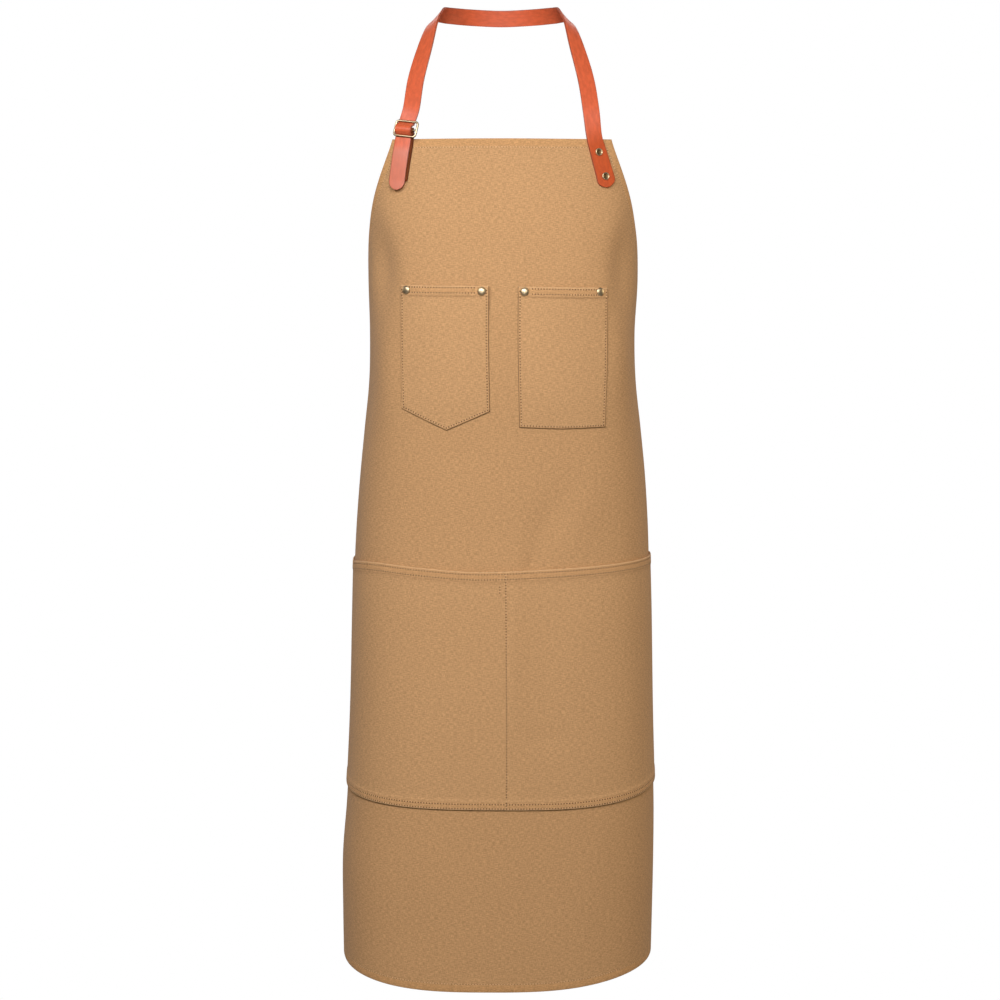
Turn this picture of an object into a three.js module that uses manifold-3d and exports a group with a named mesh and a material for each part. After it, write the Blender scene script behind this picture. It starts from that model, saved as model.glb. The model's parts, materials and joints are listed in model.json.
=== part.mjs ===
// Bib apron in canvas with a leather neck strap, in the form that it takes on its wearer.
// Millimetres, +Z up. The front faces -Y, and +X is to the right as seen from the front.
// The origin is the middle of the strap's inner face at the nape, where the apron hangs.
import * as THREE from "three";
import { mergeVertices } from "three/addons/utils/BufferGeometryUtils.js";
import Module from "manifold-3d";

const wasm = await Module();
wasm.setup();

// Clearance between pieces, and the walls
const GAP = 0.3;
const CANVAS = 1.2;
const HEM = { width: 11, fold: 1.2, ramp: 1 };

// Panel cut: half widths are measured along the cloth from the centre line
const PANEL = {
  top: -124.6,
  bottom: -1016,
  bibHalf: 116,
  skirtHalf: 345,
  armholeDepth: 330,
  armholeBend: 1.18,
  cornerDrop: 1.4,
  cornerFade: 4,
  hemRise: 21,
  hemRiseReach: 175,
  hemLowest: -14,
  hemFlatness: 3.2,
  hemRiseFrom: -830,
  fieldColumns: 28,
  bibRows: 15,
  pocketRows: 8,
  hemRows: 6,
};

// The worn cloth's outer face: a full front round the chest and hips, an ellipse behind the sides,
// and a little sway to one side
const BODY = { sideY: -70, frontFullness: 2.7, backDepth: 100, steps: 48 };
const SECTIONS = [
  { z: -90, side: 153, front: -141, sway: 0 },
  { z: -125, side: 150, front: -150, sway: 0 },
  { z: -165, side: 146, front: -159.6, sway: 0 },
  { z: -205, side: 143.4, front: -169, sway: 0.3 },
  { z: -240, side: 142.4, front: -175, sway: 1 },
  { z: -280, side: 142, front: -181, sway: 1.2 },
  { z: -330, side: 140, front: -184, sway: 0.4 },
  { z: -380, side: 141.2, front: -184.8, sway: 0.6 },
  { z: -430, side: 146.4, front: -182.6, sway: 0.8 },
  { z: -480, side: 151.4, front: -182, sway: 0.8 },
  { z: -530, side: 155, front: -182.3, sway: 0.4 },
  { z: -575, side: 157, front: -184.6, sway: 0 },
  { z: -625, side: 158.5, front: -186.6, sway: 0 },
  { z: -730, side: 161, front: -188.8, sway: -0.4 },
  { z: -830, side: 165, front: -190.3, sway: -1.6 },
  { z: -890, side: 167.4, front: -191, sway: -4 },
  { z: -950, side: 167, front: -191.5, sway: -4.6 },
  { z: -1040, side: 165.5, front: -192, sway: -5 },
];

// Pockets, by their distance along the cloth from the centre line and by height
const BAND = { depth: 9.5, fold: 0.5, ramp: 1 };
// Each chest pocket's corners run from its inner side to its outer one, with the middle of its foot between
const CHEST_POCKETS = [
  {
    name: "chest_pocket_left",
    side: -1,
    mouth: [{ along: 14.5, z: -275 }, { along: 109.5, z: -275 }],
    foot: [{ along: 13, z: -404 }, { along: 58, z: -424 }, { along: 106.5, z: -402.5 }],
    rivets: [{ along: 101.5, z: -280 }, { along: 22, z: -280.5 }],
  },
  {
    name: "chest_pocket_right",
    side: 1,
    mouth: [{ along: 15, z: -275.5 }, { along: 112, z: -278 }],
    foot: [{ along: 17, z: -420.5 }, { along: 62, z: -422.5 }, { along: 108.5, z: -422 }],
    rivets: [{ along: 22, z: -281 }, { along: 101.5, z: -282 }],
  },
];
const CHEST_GRID = { columns: 8, rows: 8 };
const SKIRT_POCKET = { edgeInset: 2, mouthPuff: 0.3, rows: 7 };
// Heights of its mouth and its foot along the cloth, which rise and dip round the body
const MOUTH = [
  { along: -345, z: -569 },
  { along: -240, z: -571 },
  { along: -195, z: -570.5 },
  { along: -166, z: -567 },
  { along: -131, z: -565.2 },
  { along: -85, z: -567.5 },
  { along: -30, z: -570.6 },
  { along: 20, z: -569.4 },
  { along: 80, z: -566.9 },
  { along: 130, z: -564.9 },
  { along: 180, z: -564.2 },
  { along: 240, z: -566 },
  { along: 345, z: -567 },
];
const FOOT = [
  { along: -345, z: -807 },
  { along: -240, z: -809 },
  { along: -180, z: -815.2 },
  { along: -140, z: -818.4 },
  { along: -90, z: -820.4 },
  { along: 0, z: -821 },
  { along: 60, z: -821 },
  { along: 105, z: -819.2 },
  { along: 150, z: -815 },
  { along: 190, z: -809.5 },
  { along: 250, z: -805 },
  { along: 345, z: -803 },
];

// Neck strap; each tip's half circle begins at a small angle, so that it ends in a short flat
const STRAP = { width: 17.4, thick: 1.8, bevel: 0.45, tipStart: 0.12, tipSteps: 5, spacing: 11 };
// Half of its way round the neck, from the nape to above the bib, and the way its outer face looks
const NECK_HALF = [
  { x: 34, y: -7, z: 1.5, facing: [0.35, 0.92, 0.17] },
  { x: 55, y: -27, z: 2.9, facing: [0.8, 0.5, 0.35] },
  { x: 64, y: -48, z: 3.2, facing: [0.84, 0.1, 0.53] },
  { x: 67.8, y: -60, z: 0, facing: [0.78, -0.2, 0.6] },
  { x: 72, y: -70, z: -7, facing: [0.7, -0.42, 0.58] },
  { x: 79.6, y: -88, z: -32, facing: [0.42, -0.74, 0.53] },
  { x: 88.3, y: -113, z: -65.4, facing: [0.18, -0.84, 0.52] },
  { x: 92.9, y: -134, z: -96, facing: [0.16, -0.9, 0.4] },
];
const NAPE_FACING = [0, 0.985, 0.174];
const NECK_SWAY = -1;
// The riveted end lies on the bib and widens to its tip, measured along it from halfway between its rivets
const RIVETED_END = {
  x: 102.5,
  z: -151.7,
  lean: 0.26,
  start: -28,
  rivets: [-12.9, 12.9],
  tip: 24,
  tipHalf: 10,
  tipDepth: 7.5,
};
// The free end hangs before the bib, measured along the strap from a point under the bib's top edge
const FREE_END = { x: -102, z: -138.7, lean: -0.1 };
const FREE_END_ROWS = [
  { along: -6, lift: 4.6 },
  { along: 5, lift: 5.3 },
  { along: 18, lift: 5 },
];
const FREE_TIP = { along: 40, lift: 4.2 };

// Slide buckle and its leather tab, by places along the free end; the tilt and the tab's arcs are in radians
const BUCKLE = {
  width: 26.5,
  height: 18.4,
  wire: 2.3,
  corner: 3,
  centre: -23.5,
  shift: -1.5,
  tilt: 0.21,
  sides: 8,
};
const BAR = { wire: 2.1, shift: 0.9, sides: 12 };
const TAB = {
  width: 16,
  shift: -2,
  thick: 1.3,
  end: 30,
  rivet: 5,
  underTurn: 1.32,
  loopFrom: -0.31,
  loopTo: 3.61,
  loopSteps: 10,
  legReach: 3,
};

// Rivets: caps by radius and height, with the post and the burr that all of them have
const POST = 1.5;
const RIVET_SIDES = 12;
const POCKET_RIVET = { radius: 4.5, height: 2.1, rim: 0.5 };
const STRAP_RIVET = { radius: 4, height: 1.2, shoulder: 0.7, lip: 0.9 };
const RIVET_DISH = { radius: 2.7, floor: 2.2, height: 0.4 };
const TAB_RIVET = { radius: 3, top: 2.7, height: 0.7 };
const BURR = { radius: 3.2, height: 0.9, room: 0.7 };

// Facets in each bend of a rivet's dome, of the buckle's wire and of the strap round a bar
const BEND_STEPS = 4;

const canvas = new THREE.MeshStandardMaterial({ color: 0xc49866, roughness: 0.95, metalness: 0 });
const pocketCanvas = new THREE.MeshStandardMaterial({ color: 0xc89c6a, roughness: 0.95, metalness: 0 });
const leather = new THREE.MeshStandardMaterial({ color: 0xd65a32, roughness: 0.55, metalness: 0 });
const brass = new THREE.MeshStandardMaterial({ color: 0xa88a55, roughness: 0.4, metalness: 0.95 });

// One column of a table at a value of its sorted column, by a cubic through the neighbouring rows
function tableAt(rows, sorted, column, value) {
  const last = rows.length - 1;
  const way = Math.sign(rows[1][sorted] - rows[0][sorted]);
  const past = rows.findIndex((row) => (row[sorted] - value) * way >= 0);
  const k = Math.min(Math.max(past - 1, 0), last - 1);
  const [before, low, high, after] = [k - 1, k, k + 1, k + 2].map(
    (row) => rows[Math.min(Math.max(row, 0), last)],
  );
  const run = high[sorted] - low[sorted];
  const t = (value - low[sorted]) / run;
  const slope = (p, q) => ((q[column] - p[column]) / (q[sorted] - p[sorted])) * run;
  const [m0, m1] = [slope(before, high), slope(low, after)];
  const rise = high[column] - low[column];
  return low[column] + t * (m0 + t * (3 * rise - 2 * m0 - m1 + t * (m0 + m1 - 2 * rise)));
}

function bodySize(column, z) {
  return tableAt(SECTIONS, "z", column, z);
}

// A place on the cloth's outer face, by its distance along the cloth from the centre line and its height
function clothPoint(along, z) {
  const side = bodySize("side", z);
  const depth = BODY.sideY - bodySize("front", z);
  const power = 2 / BODY.frontFullness;
  const edge = (step) => {
    const turn = ((step % BODY.steps) / BODY.steps) * (Math.PI / 2);
    return step < BODY.steps
      ? [side * Math.sin(turn) ** power, BODY.sideY - depth * Math.cos(turn) ** power]
      : [side * Math.cos(turn), BODY.sideY + BODY.backDepth * Math.sin(turn)];
  };
  let left = Math.abs(along);
  let [x0, y0] = edge(0);
  for (let step = 1; step < 2 * BODY.steps; step++) {
    const [x1, y1] = edge(step);
    const length = Math.hypot(x1 - x0, y1 - y0);
    if (left <= length || step === 2 * BODY.steps - 1) {
      const t = left / length;
      const x = Math.sign(along) * (x0 + t * (x1 - x0));
      return new THREE.Vector3(x + bodySize("sway", z), y0 + t * (y1 - y0), z);
    }
    left -= length;
    [x0, y0] = [x1, y1];
  }
}

// A place on the cloth and the way that it faces
function clothFrame(along, z) {
  const reach = 4;
  const across = clothPoint(along + reach, z).sub(clothPoint(along - reach, z));
  const down = clothPoint(along, z - reach).sub(clothPoint(along, z + reach));
  return { point: clothPoint(along, z), normal: down.cross(across).normalize() };
}

// The same, lifted off the cloth
function clothLifted(along, z, lift) {
  const { point, normal } = clothFrame(along, z);
  return point.addScaledVector(normal, lift);
}

// Distance along the cloth of a place that has this x, on the front
function alongAt(x, z) {
  const halvings = 30;
  let [low, high] = [0, PANEL.skirtHalf / 2];
  for (let step = 0; step < halvings; step++) {
    const middle = (low + high) / 2;
    if (clothPoint(middle, z).x < Math.abs(x)) low = middle;
    else high = middle;
  }
  return Math.sign(x) * low;
}

// Evenly spaced numbers from one end to the other, both included
function spread(from, to, steps) {
  return Array.from({ length: steps + 1 }, (_, i) => from + ((to - from) * i) / steps);
}

// A closed wall between two grids of points that run down and then across. The facets of its right half
// mirror those of its left half.
function wall(rows, columns, front, back) {
  const positions = [];
  const index = [];
  const at = (side, i, j) => (side * rows + i) * columns + j;
  const quad = (a, b, c, d) => index.push(a, b, c, a, c, d);
  const cell = (side, i, j) => [
    at(side, i, j),
    at(side, i + 1, j),
    at(side, i + 1, j + 1),
    at(side, i, j + 1),
  ];
  for (const face of [front, back]) {
    for (let i = 0; i < rows; i++) {
      for (let j = 0; j < columns; j++) positions.push(...face(i, j).toArray());
    }
  }
  const [bottom, right] = [rows - 1, columns - 1];
  for (let i = 0; i < bottom; i++) {
    for (let j = 0; j < right; j++) {
      const [outer, inner] = [cell(0, i, j), cell(1, i, j).reverse()];
      if (2 * j >= right) outer.push(outer.shift());
      else inner.push(inner.shift());
      quad(...outer);
      quad(...inner);
    }
    quad(at(0, i + 1, 0), at(0, i, 0), at(1, i, 0), at(1, i + 1, 0));
    quad(at(0, i, right), at(0, i + 1, right), at(1, i + 1, right), at(1, i, right));
  }
  for (let j = 0; j < right; j++) {
    quad(at(0, 0, j), at(0, 0, j + 1), at(1, 0, j + 1), at(1, 0, j));
    quad(at(0, bottom, j + 1), at(0, bottom, j), at(1, bottom, j), at(1, bottom, j + 1));
  }
  return indexed(positions, index);
}

// A section carried along stations that each have a place, a side direction and an up direction
function sweep(stations, sectionAt, closed = false) {
  const rings = stations.map((station) => sectionAt(station));
  const sides = rings[0].length;
  const positions = [];
  const index = [];
  stations.forEach(({ point, side, up }, i) => {
    for (const [s, u] of rings[i]) {
      positions.push(...point.clone().addScaledVector(side, s).addScaledVector(up, u).toArray());
    }
  });
  const last = stations.length - 1;
  for (let i = 0; i < last + (closed ? 1 : 0); i++) {
    const next = i === last ? 0 : i + 1;
    for (let k = 0; k < sides; k++) {
      const [a, b] = [i * sides + k, i * sides + ((k + 1) % sides)];
      const [c, d] = [next * sides + ((k + 1) % sides), next * sides + k];
      index.push(a, b, c, a, c, d);
    }
  }
  for (let k = 1; k < sides - 1 && !closed; k++) {
    index.push(0, k + 1, k, last * sides, last * sides + k, last * sides + k + 1);
  }
  return indexed(positions, index);
}

function indexed(positions, index) {
  const geometry = new THREE.BufferGeometry();
  geometry.setAttribute("position", new THREE.Float32BufferAttribute(positions, 3));
  geometry.setIndex(index);
  geometry.computeVertexNormals();
  return geometry;
}

// A closed geometry as a solid that can be joined and cut, and back
function solidOf(geometry) {
  const bare = geometry.clone();
  bare.deleteAttribute("normal");
  bare.deleteAttribute("uv");
  const merged = mergeVertices(bare);
  return new wasm.Manifold(
    new wasm.Mesh({
      numProp: 3,
      vertProperties: Float32Array.from(merged.getAttribute("position").array),
      triVerts: Uint32Array.from(merged.getIndex().array),
    }),
  );
}

function geometryOf(solid) {
  const { vertProperties, triVerts } = solid.getMesh();
  return indexed(Array.from(vertProperties), Array.from(triVerts));
}

// A geometry with a round hole for each seat's rivet post
function drilled(geometry, seats) {
  const reach = 24;
  const holes = seats.map((seat) => {
    const drill = new THREE.CylinderGeometry(POST + GAP, POST + GAP, reach, RIVET_SIDES);
    return solidOf(drill.applyMatrix4(seat.matrix));
  });
  return geometryOf(holes.reduce((solid, hole) => solid.subtract(hole), solidOf(geometry)));
}

// A group at a place, with X along the piece, Y out of the cloth and Z across
function seatAt(point, alongPiece, normal) {
  const out = normal.clone().normalize();
  const run = alongPiece.clone().addScaledVector(out, -alongPiece.dot(out)).normalize();
  const seat = new THREE.Group();
  seat.position.copy(point);
  seat.quaternion.setFromRotationMatrix(
    new THREE.Matrix4().makeBasis(run, out, new THREE.Vector3().crossVectors(run, out)),
  );
  seat.updateMatrix();
  return seat;
}

// A seat on the bib at x and z, with X running down the strap that lies there
function bibSeat({ x, z, lean }) {
  const { point, normal } = clothFrame(alongAt(x, z), z);
  return seatAt(point, new THREE.Vector3(lean, 0, -1), normal);
}

// A seat further along another seat
function movedSeat(seat, along, lift) {
  const moved = seat.clone();
  moved.position.copy(new THREE.Vector3(along, lift, 0).applyMatrix4(seat.matrix));
  moved.updateMatrix();
  return moved;
}

function mesh(name, geometry, material) {
  const piece = new THREE.Mesh(geometry, material);
  piece.name = name;
  return piece;
}

// Apron panel
function halfCut(z) {
  const depth = Math.max(PANEL.top - z, 0) / PANEL.armholeDepth;
  const growth = PANEL.skirtHalf - PANEL.bibHalf;
  return PANEL.bibHalf + growth * Math.min(depth, 1) ** PANEL.armholeBend;
}

// Distances along the cloth of a row's grid points, with the side hems' lines among them
function columnsAt(half) {
  const field = half - HEM.width - HEM.ramp;
  const hem = half - HEM.width;
  return [-half, -hem, ...spread(-field, field, PANEL.fieldColumns), hem, half];
}

// The top edge drops a little to its corners, and the hem rises round the body
function edgeShift(along, z) {
  const nearTop = Math.max(1 - (PANEL.top - z) / PANEL.armholeDepth, 0);
  const nearHem = Math.max((PANEL.hemRiseFrom - z) / (PANEL.hemRiseFrom - PANEL.bottom), 0);
  const fromLowest = Math.abs((along - PANEL.hemLowest) / PANEL.hemRiseReach);
  const rise = PANEL.hemRise * (1 - Math.exp(-(fromLowest ** PANEL.hemFlatness)));
  return rise * nearHem - PANEL.cornerDrop * (along / PANEL.bibHalf) ** 2 * nearTop ** PANEL.cornerFade;
}

function panelRows() {
  const topHem = PANEL.top - HEM.width;
  const lowHem = PANEL.bottom + HEM.width;
  const [mouth, foot] = [MOUTH, FOOT].map((edge) => tableAt(edge, "along", "z", 0));
  return [
    PANEL.top,
    topHem,
    ...spread(topHem - HEM.ramp, mouth, PANEL.bibRows),
    ...spread(mouth, foot, PANEL.pocketRows).slice(1),
    ...spread(foot, lowHem + HEM.ramp, PANEL.hemRows).slice(1),
    lowHem,
    PANEL.bottom,
  ];
}

function panelGeometry() {
  const rows = panelRows();
  const columns = rows.map((z) => columnsAt(halfCut(z)));
  const [lastRow, lastColumn] = [rows.length - 1, columns[0].length - 1];
  const place = (i, j, lift) => {
    const along = columns[i][j];
    return clothLifted(along, rows[i] + edgeShift(along, rows[i]), lift);
  };
  const inHem = (i, j) => i <= 1 || i >= lastRow - 1 || j <= 1 || j >= lastColumn - 1;
  const thickness = (i, j) => CANVAS + (inHem(i, j) ? HEM.fold : 0);
  return wall(
    rows.length,
    columns[0].length,
    (i, j) => place(i, j, 0),
    (i, j) => place(i, j, -thickness(i, j)),
  );
}

// A place between corners in a row, by its share of the way from the first to the last
function between(corners, share) {
  const last = corners.length - 1;
  const i = Math.min(Math.floor(share * last), last - 1);
  const [from, to, t] = [corners[i], corners[i + 1], share * last - i];
  return { along: from.along + t * (to.along - from.along), z: from.z + t * (to.z - from.z) };
}

// Patch pocket on the chest, with a folded band along its mouth; side is -1 on the left
function chestPocketGeometry({ side, mouth, foot }) {
  const shares = spread(0, 1, CHEST_GRID.columns);
  if (side < 0) shares.reverse();
  const thickness = (i) => CANVAS + (i <= 1 ? BAND.fold : 0);
  const place = (i, j, lift) => {
    const [top, low] = [between(mouth, shares[j]), between(foot, shares[j])];
    const height = top.z - low.z;
    const rows = [0, BAND.depth, ...spread(BAND.depth + BAND.ramp, height, CHEST_GRID.rows)];
    const { along, z } = between([top, low], rows[i] / height);
    return clothLifted(side * along, z, lift);
  };
  return wall(
    CHEST_GRID.rows + 3,
    shares.length,
    (i, j) => place(i, j, GAP + thickness(i)),
    (i, j) => place(i, j, GAP),
  );
}

// Pocket across the whole skirt, with a band along its mouth and another along its foot
function skirtPocketGeometry() {
  const { edgeInset, mouthPuff } = SKIRT_POCKET;
  const columns = columnsAt(PANEL.skirtHalf).map(
    (along) => Math.sign(along) * Math.min(Math.abs(along), PANEL.skirtHalf - edgeInset),
  );
  const rowsAt = (along) => {
    const [mouth, foot] = [MOUTH, FOOT].map((edge) => tableAt(edge, "along", "z", along));
    const [low, high] = [foot + BAND.depth, mouth - BAND.depth];
    return [mouth, high, ...spread(high - BAND.ramp, low + BAND.ramp, SKIRT_POCKET.rows), low, foot];
  };
  const rowCount = SKIRT_POCKET.rows + 5;
  const thickness = (i) => CANVAS + (i <= 1 || i >= rowCount - 2 ? BAND.fold : 0);
  const place = (i, j, lift) => {
    const along = columns[j];
    const rows = rowsAt(along);
    const open = (rows[i] - rows.at(-1)) / (rows[0] - rows.at(-1));
    const puff = mouthPuff * open * Math.sin((Math.PI * along) / PANEL.skirtHalf) ** 2;
    return clothLifted(along, rows[i], GAP + puff + lift);
  };
  return wall(
    rowCount,
    columns.length,
    (i, j) => place(i, j, thickness(i)),
    (i, j) => place(i, j, 0),
  );
}

// A rivet turned round its seat's Y axis: head above the stack of cloth and leather, burr below it
function rivetGeometry(head, stack) {
  const burrTop = -stack - GAP - BURR.room;
  const profile = [
    [0, burrTop - BURR.height],
    [BURR.radius, burrTop - BURR.height],
    [BURR.radius, burrTop],
    [POST, burrTop],
    [POST, 0],
    ...head,
  ];
  return new THREE.LatheGeometry(profile.map(([r, y]) => new THREE.Vector2(r, y)), RIVET_SIDES);
}

function domeHead({ radius, height, rim }) {
  const turns = spread(0, Math.PI / 2, BEND_STEPS);
  return [
    [radius, 0],
    ...turns.map((t) => [radius * Math.cos(t), rim + (height - rim) * Math.sin(t)]),
  ];
}

function dishedHead({ radius, height, shoulder, lip }, dish) {
  return [
    [radius, 0],
    [radius, shoulder],
    [(radius + dish.radius) / 2, height],
    [dish.radius, lip],
    [dish.floor, dish.height],
    [0, dish.height],
  ];
}

function flatHead({ radius, top, height }) {
  return [
    [radius, 0],
    [top, height],
    [0, height],
  ];
}

// Buckle: a round wire bent to a rounded rectangle, with its centre bar soldered in
const wireRadius = BUCKLE.wire / 2;
const tabLegs = 2 * TAB.thick;
const strapLift = GAP + tabLegs + GAP + STRAP.thick / 2;
const barLift = strapLift + STRAP.thick / 2 + GAP + wireRadius;
const barAlong = BUCKLE.centre + BAR.shift;
const barReach = BUCKLE.height / 2 - wireRadius;
const headBar = BUCKLE.centre - barReach;
const footBar = BUCKLE.centre + barReach;
const loopRadius = wireRadius + GAP + TAB.thick;

// A place on the buckle, which tilts back about its foot bar, as its place along the free end and its lift
function onBuckle(along, lift) {
  const pivot = new THREE.Vector2(footBar, barLift);
  return new THREE.Vector2(along, lift).rotateAround(pivot, BUCKLE.tilt).toArray();
}

function buckleGeometry() {
  const [halfX, halfZ] = [barReach, BUCKLE.width / 2 - wireRadius];
  const stations = [];
  const corners = [
    [1, 1],
    [-1, 1],
    [-1, -1],
    [1, -1],
  ];
  corners.forEach(([signX, signZ], corner) => {
    for (const turn of spread(0, Math.PI / 2, BEND_STEPS)) {
      const angle = turn + (corner * Math.PI) / 2;
      const [outX, outZ] = [Math.cos(angle), Math.sin(angle)];
      const x = BUCKLE.centre + signX * (halfX - BUCKLE.corner) + BUCKLE.corner * outX;
      const z = signZ * (halfZ - BUCKLE.corner) + BUCKLE.corner * outZ;
      stations.push({
        point: new THREE.Vector3(x, barLift, z),
        side: new THREE.Vector3(outX, 0, outZ),
        up: new THREE.Vector3(0, 1, 0),
      });
    }
  });
  const circle = spread(0, 2 * Math.PI, BUCKLE.sides)
    .slice(1)
    .map((t) => [wireRadius * Math.cos(t), wireRadius * Math.sin(t)]);
  const frame = sweep(stations, () => circle, true);
  const bar = new THREE.CylinderGeometry(BAR.wire / 2, BAR.wire / 2, 2 * halfZ, BAR.sides);
  bar.rotateX(Math.PI / 2).translate(barAlong, barLift, 0);
  return geometryOf(solidOf(frame).add(solidOf(bar)))
    .translate(-footBar, -barLift, BUCKLE.shift)
    .rotateZ(BUCKLE.tilt)
    .translate(footBar, barLift, 0);
}

// Leather tab: doubled legs on the bib that open into a loop round the buckle's bar
function tabGeometry() {
  const legTop = GAP + tabLegs;
  const clearOfStrap = wireRadius + 2 * GAP + STRAP.thick;
  const underFoot = spread(0, TAB.underTurn - BUCKLE.tilt, BEND_STEPS).map((t) => [
    footBar - clearOfStrap * Math.sin(t),
    Math.max(barLift - clearOfStrap * Math.cos(t), legTop),
  ]);
  const loop = spread(TAB.loopFrom, TAB.loopTo, TAB.loopSteps).map((t) =>
    onBuckle(barAlong + loopRadius * Math.cos(t), barLift + loopRadius * Math.sin(t)),
  );
  const outline = [[TAB.end, GAP], [TAB.end, legTop], ...underFoot, ...loop, [footBar - TAB.legReach, GAP]];
  const shape = new THREE.Shape(outline.map(([x, y]) => new THREE.Vector2(x, y)));
  const barHole = new THREE.Path();
  shape.holes.push(barHole.absarc(...onBuckle(barAlong, barLift), wireRadius + GAP, 0, 2 * Math.PI));
  const geometry = new THREE.ExtrudeGeometry(shape, {
    depth: TAB.width,
    bevelEnabled: false,
    curveSegments: TAB.loopSteps,
  });
  return geometry.translate(0, 0, TAB.shift - TAB.width / 2);
}

// The strap's way under, over and under the buckle's three bars, as places along the seat and their lift
function weaveRows() {
  const bars = [
    { along: headBar, radius: barLift - strapLift, over: -1 },
    { along: barAlong, radius: loopRadius + GAP + STRAP.thick / 2, over: 1 },
    { along: footBar, radius: barLift - strapLift, over: -1 },
  ];
  const slopeBetween = (a, b) => -a.over * Math.asin((a.radius + b.radius) / (b.along - a.along));
  const slopes = [0, slopeBetween(bars[0], bars[1]), slopeBetween(bars[1], bars[2]), 0];
  return bars.flatMap(({ along, radius, over }, i) =>
    spread(slopes[i], slopes[i + 1], BEND_STEPS).map((slope) =>
      onBuckle(along - over * radius * Math.sin(slope), barLift + over * radius * Math.cos(slope)),
    ),
  );
}

// Places along the strap, each with its half width and the way that its outer face looks
function strapStations(rivetedSeat, freeSeat) {
  const half = STRAP.width / 2;
  const restLift = GAP + STRAP.thick / 2;
  const onSeat = (seat, [along, lift], halfWidth = half) => ({
    point: new THREE.Vector3(along, lift, 0).applyMatrix4(seat.matrix),
    facing: new THREE.Vector3(0, 1, 0).applyQuaternion(seat.quaternion),
    halfWidth,
  });
  const roundTip = (seat, tip, lift, halfWidth, depth) =>
    spread(STRAP.tipStart, Math.PI / 2, STRAP.tipSteps).map((t) =>
      onSeat(seat, [tip - depth * (1 - Math.cos(t)), lift], halfWidth * Math.sin(t)),
    );
  const { start, rivets, tip, tipHalf, tipDepth } = RIVETED_END;
  const widened = (along) => half + ((tipHalf - half) * (along - start)) / (tip - tipDepth - start);
  const neckRow = ({ x, y, z, facing }, side) => ({
    point: new THREE.Vector3(side * x + NECK_SWAY, y, z),
    facing: new THREE.Vector3(side * facing[0], facing[1], facing[2]),
    halfWidth: half,
  });
  const nape = {
    point: new THREE.Vector3(...NAPE_FACING).multiplyScalar(STRAP.thick / 2),
    facing: new THREE.Vector3(...NAPE_FACING),
    halfWidth: half,
  };
  const around = [
    onSeat(rivetedSeat, [start, restLift]),
    ...NECK_HALF.toReversed().map((row) => neckRow(row, 1)),
    nape,
    ...NECK_HALF.map((row) => neckRow(row, -1)),
    ...weaveRows().map((place) => onSeat(freeSeat, place)),
    ...FREE_END_ROWS.map(({ along, lift }) => onSeat(freeSeat, [along, lift])),
  ];
  return [
    ...roundTip(rivetedSeat, tip, restLift, tipHalf, tipDepth),
    ...rivets.toReversed().map((along) => onSeat(rivetedSeat, [along, restLift], widened(along))),
    ...smoothed(around),
    ...roundTip(freeSeat, FREE_TIP.along, FREE_TIP.lift, half, half).toReversed(),
  ];
}

// Stations spaced closely along a smooth curve through the given ones
function smoothed(stations) {
  const places = new THREE.CatmullRomCurve3(stations.map((s) => s.point));
  const facings = new THREE.CatmullRomCurve3(stations.map((s) => s.facing.clone().normalize()));
  const last = stations.length - 1;
  const result = [stations[0]];
  for (let i = 0; i < last; i++) {
    const steps = Math.ceil(stations[i].point.distanceTo(stations[i + 1].point) / STRAP.spacing);
    for (let step = 1; step <= steps; step++) {
      const t = (i + step / steps) / last;
      result.push({ ...stations[i], point: places.getPoint(t), facing: facings.getPoint(t) });
    }
  }
  return result;
}

function strapGeometry(rivetedSeat, freeSeat) {
  const rows = strapStations(rivetedSeat, freeSeat);
  const stations = rows.map(({ point, facing, halfWidth }, i) => {
    const before = rows[Math.max(i - 1, 0)].point;
    const after = rows[Math.min(i + 1, rows.length - 1)].point;
    const tangent = after.clone().sub(before).normalize();
    const up = facing.clone().addScaledVector(tangent, -facing.dot(tangent)).normalize();
    return { point, up, side: new THREE.Vector3().crossVectors(up, tangent), halfWidth };
  });
  const thin = STRAP.thick / 2;
  return sweep(stations, ({ halfWidth }) => {
    const bevel = Math.min(STRAP.bevel, halfWidth / 2);
    return [
      [halfWidth, bevel - thin],
      [halfWidth, thin - bevel],
      [halfWidth - bevel, thin],
      [bevel - halfWidth, thin],
      [-halfWidth, thin - bevel],
      [-halfWidth, bevel - thin],
      [bevel - halfWidth, -thin],
      [halfWidth - bevel, -thin],
    ];
  });
}

// Assembly
const apron = new THREE.Group();

const freeSeat = bibSeat(FREE_END);
const rivetedSeat = bibSeat(RIVETED_END);

const bandThick = CANVAS + BAND.fold;
const pocketSeats = CHEST_POCKETS.map(({ side, rivets }) =>
  rivets.map(({ along, z }) => {
    const { point, normal } = clothFrame(side * along, z);
    return seatAt(point.addScaledVector(normal, 2 * GAP + bandThick), new THREE.Vector3(0, 0, -1), normal);
  }),
);
const strapRivetSeats = RIVETED_END.rivets.map((along) =>
  movedSeat(rivetedSeat, along, 2 * GAP + STRAP.thick),
);
const tabRivetSeat = movedSeat(freeSeat, TAB.rivet, 2 * GAP + tabLegs);

const panelSeats = [...pocketSeats.flat(), ...strapRivetSeats, tabRivetSeat];
apron.add(
  mesh("apron_panel", drilled(panelGeometry(), panelSeats), canvas),
  ...CHEST_POCKETS.map((pocket, i) =>
    mesh(pocket.name, drilled(chestPocketGeometry(pocket), pocketSeats[i]), pocketCanvas),
  ),
  mesh("skirt_pocket", skirtPocketGeometry(), pocketCanvas),
  mesh("neck_strap", drilled(strapGeometry(rivetedSeat, freeSeat), strapRivetSeats), leather),
);

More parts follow.
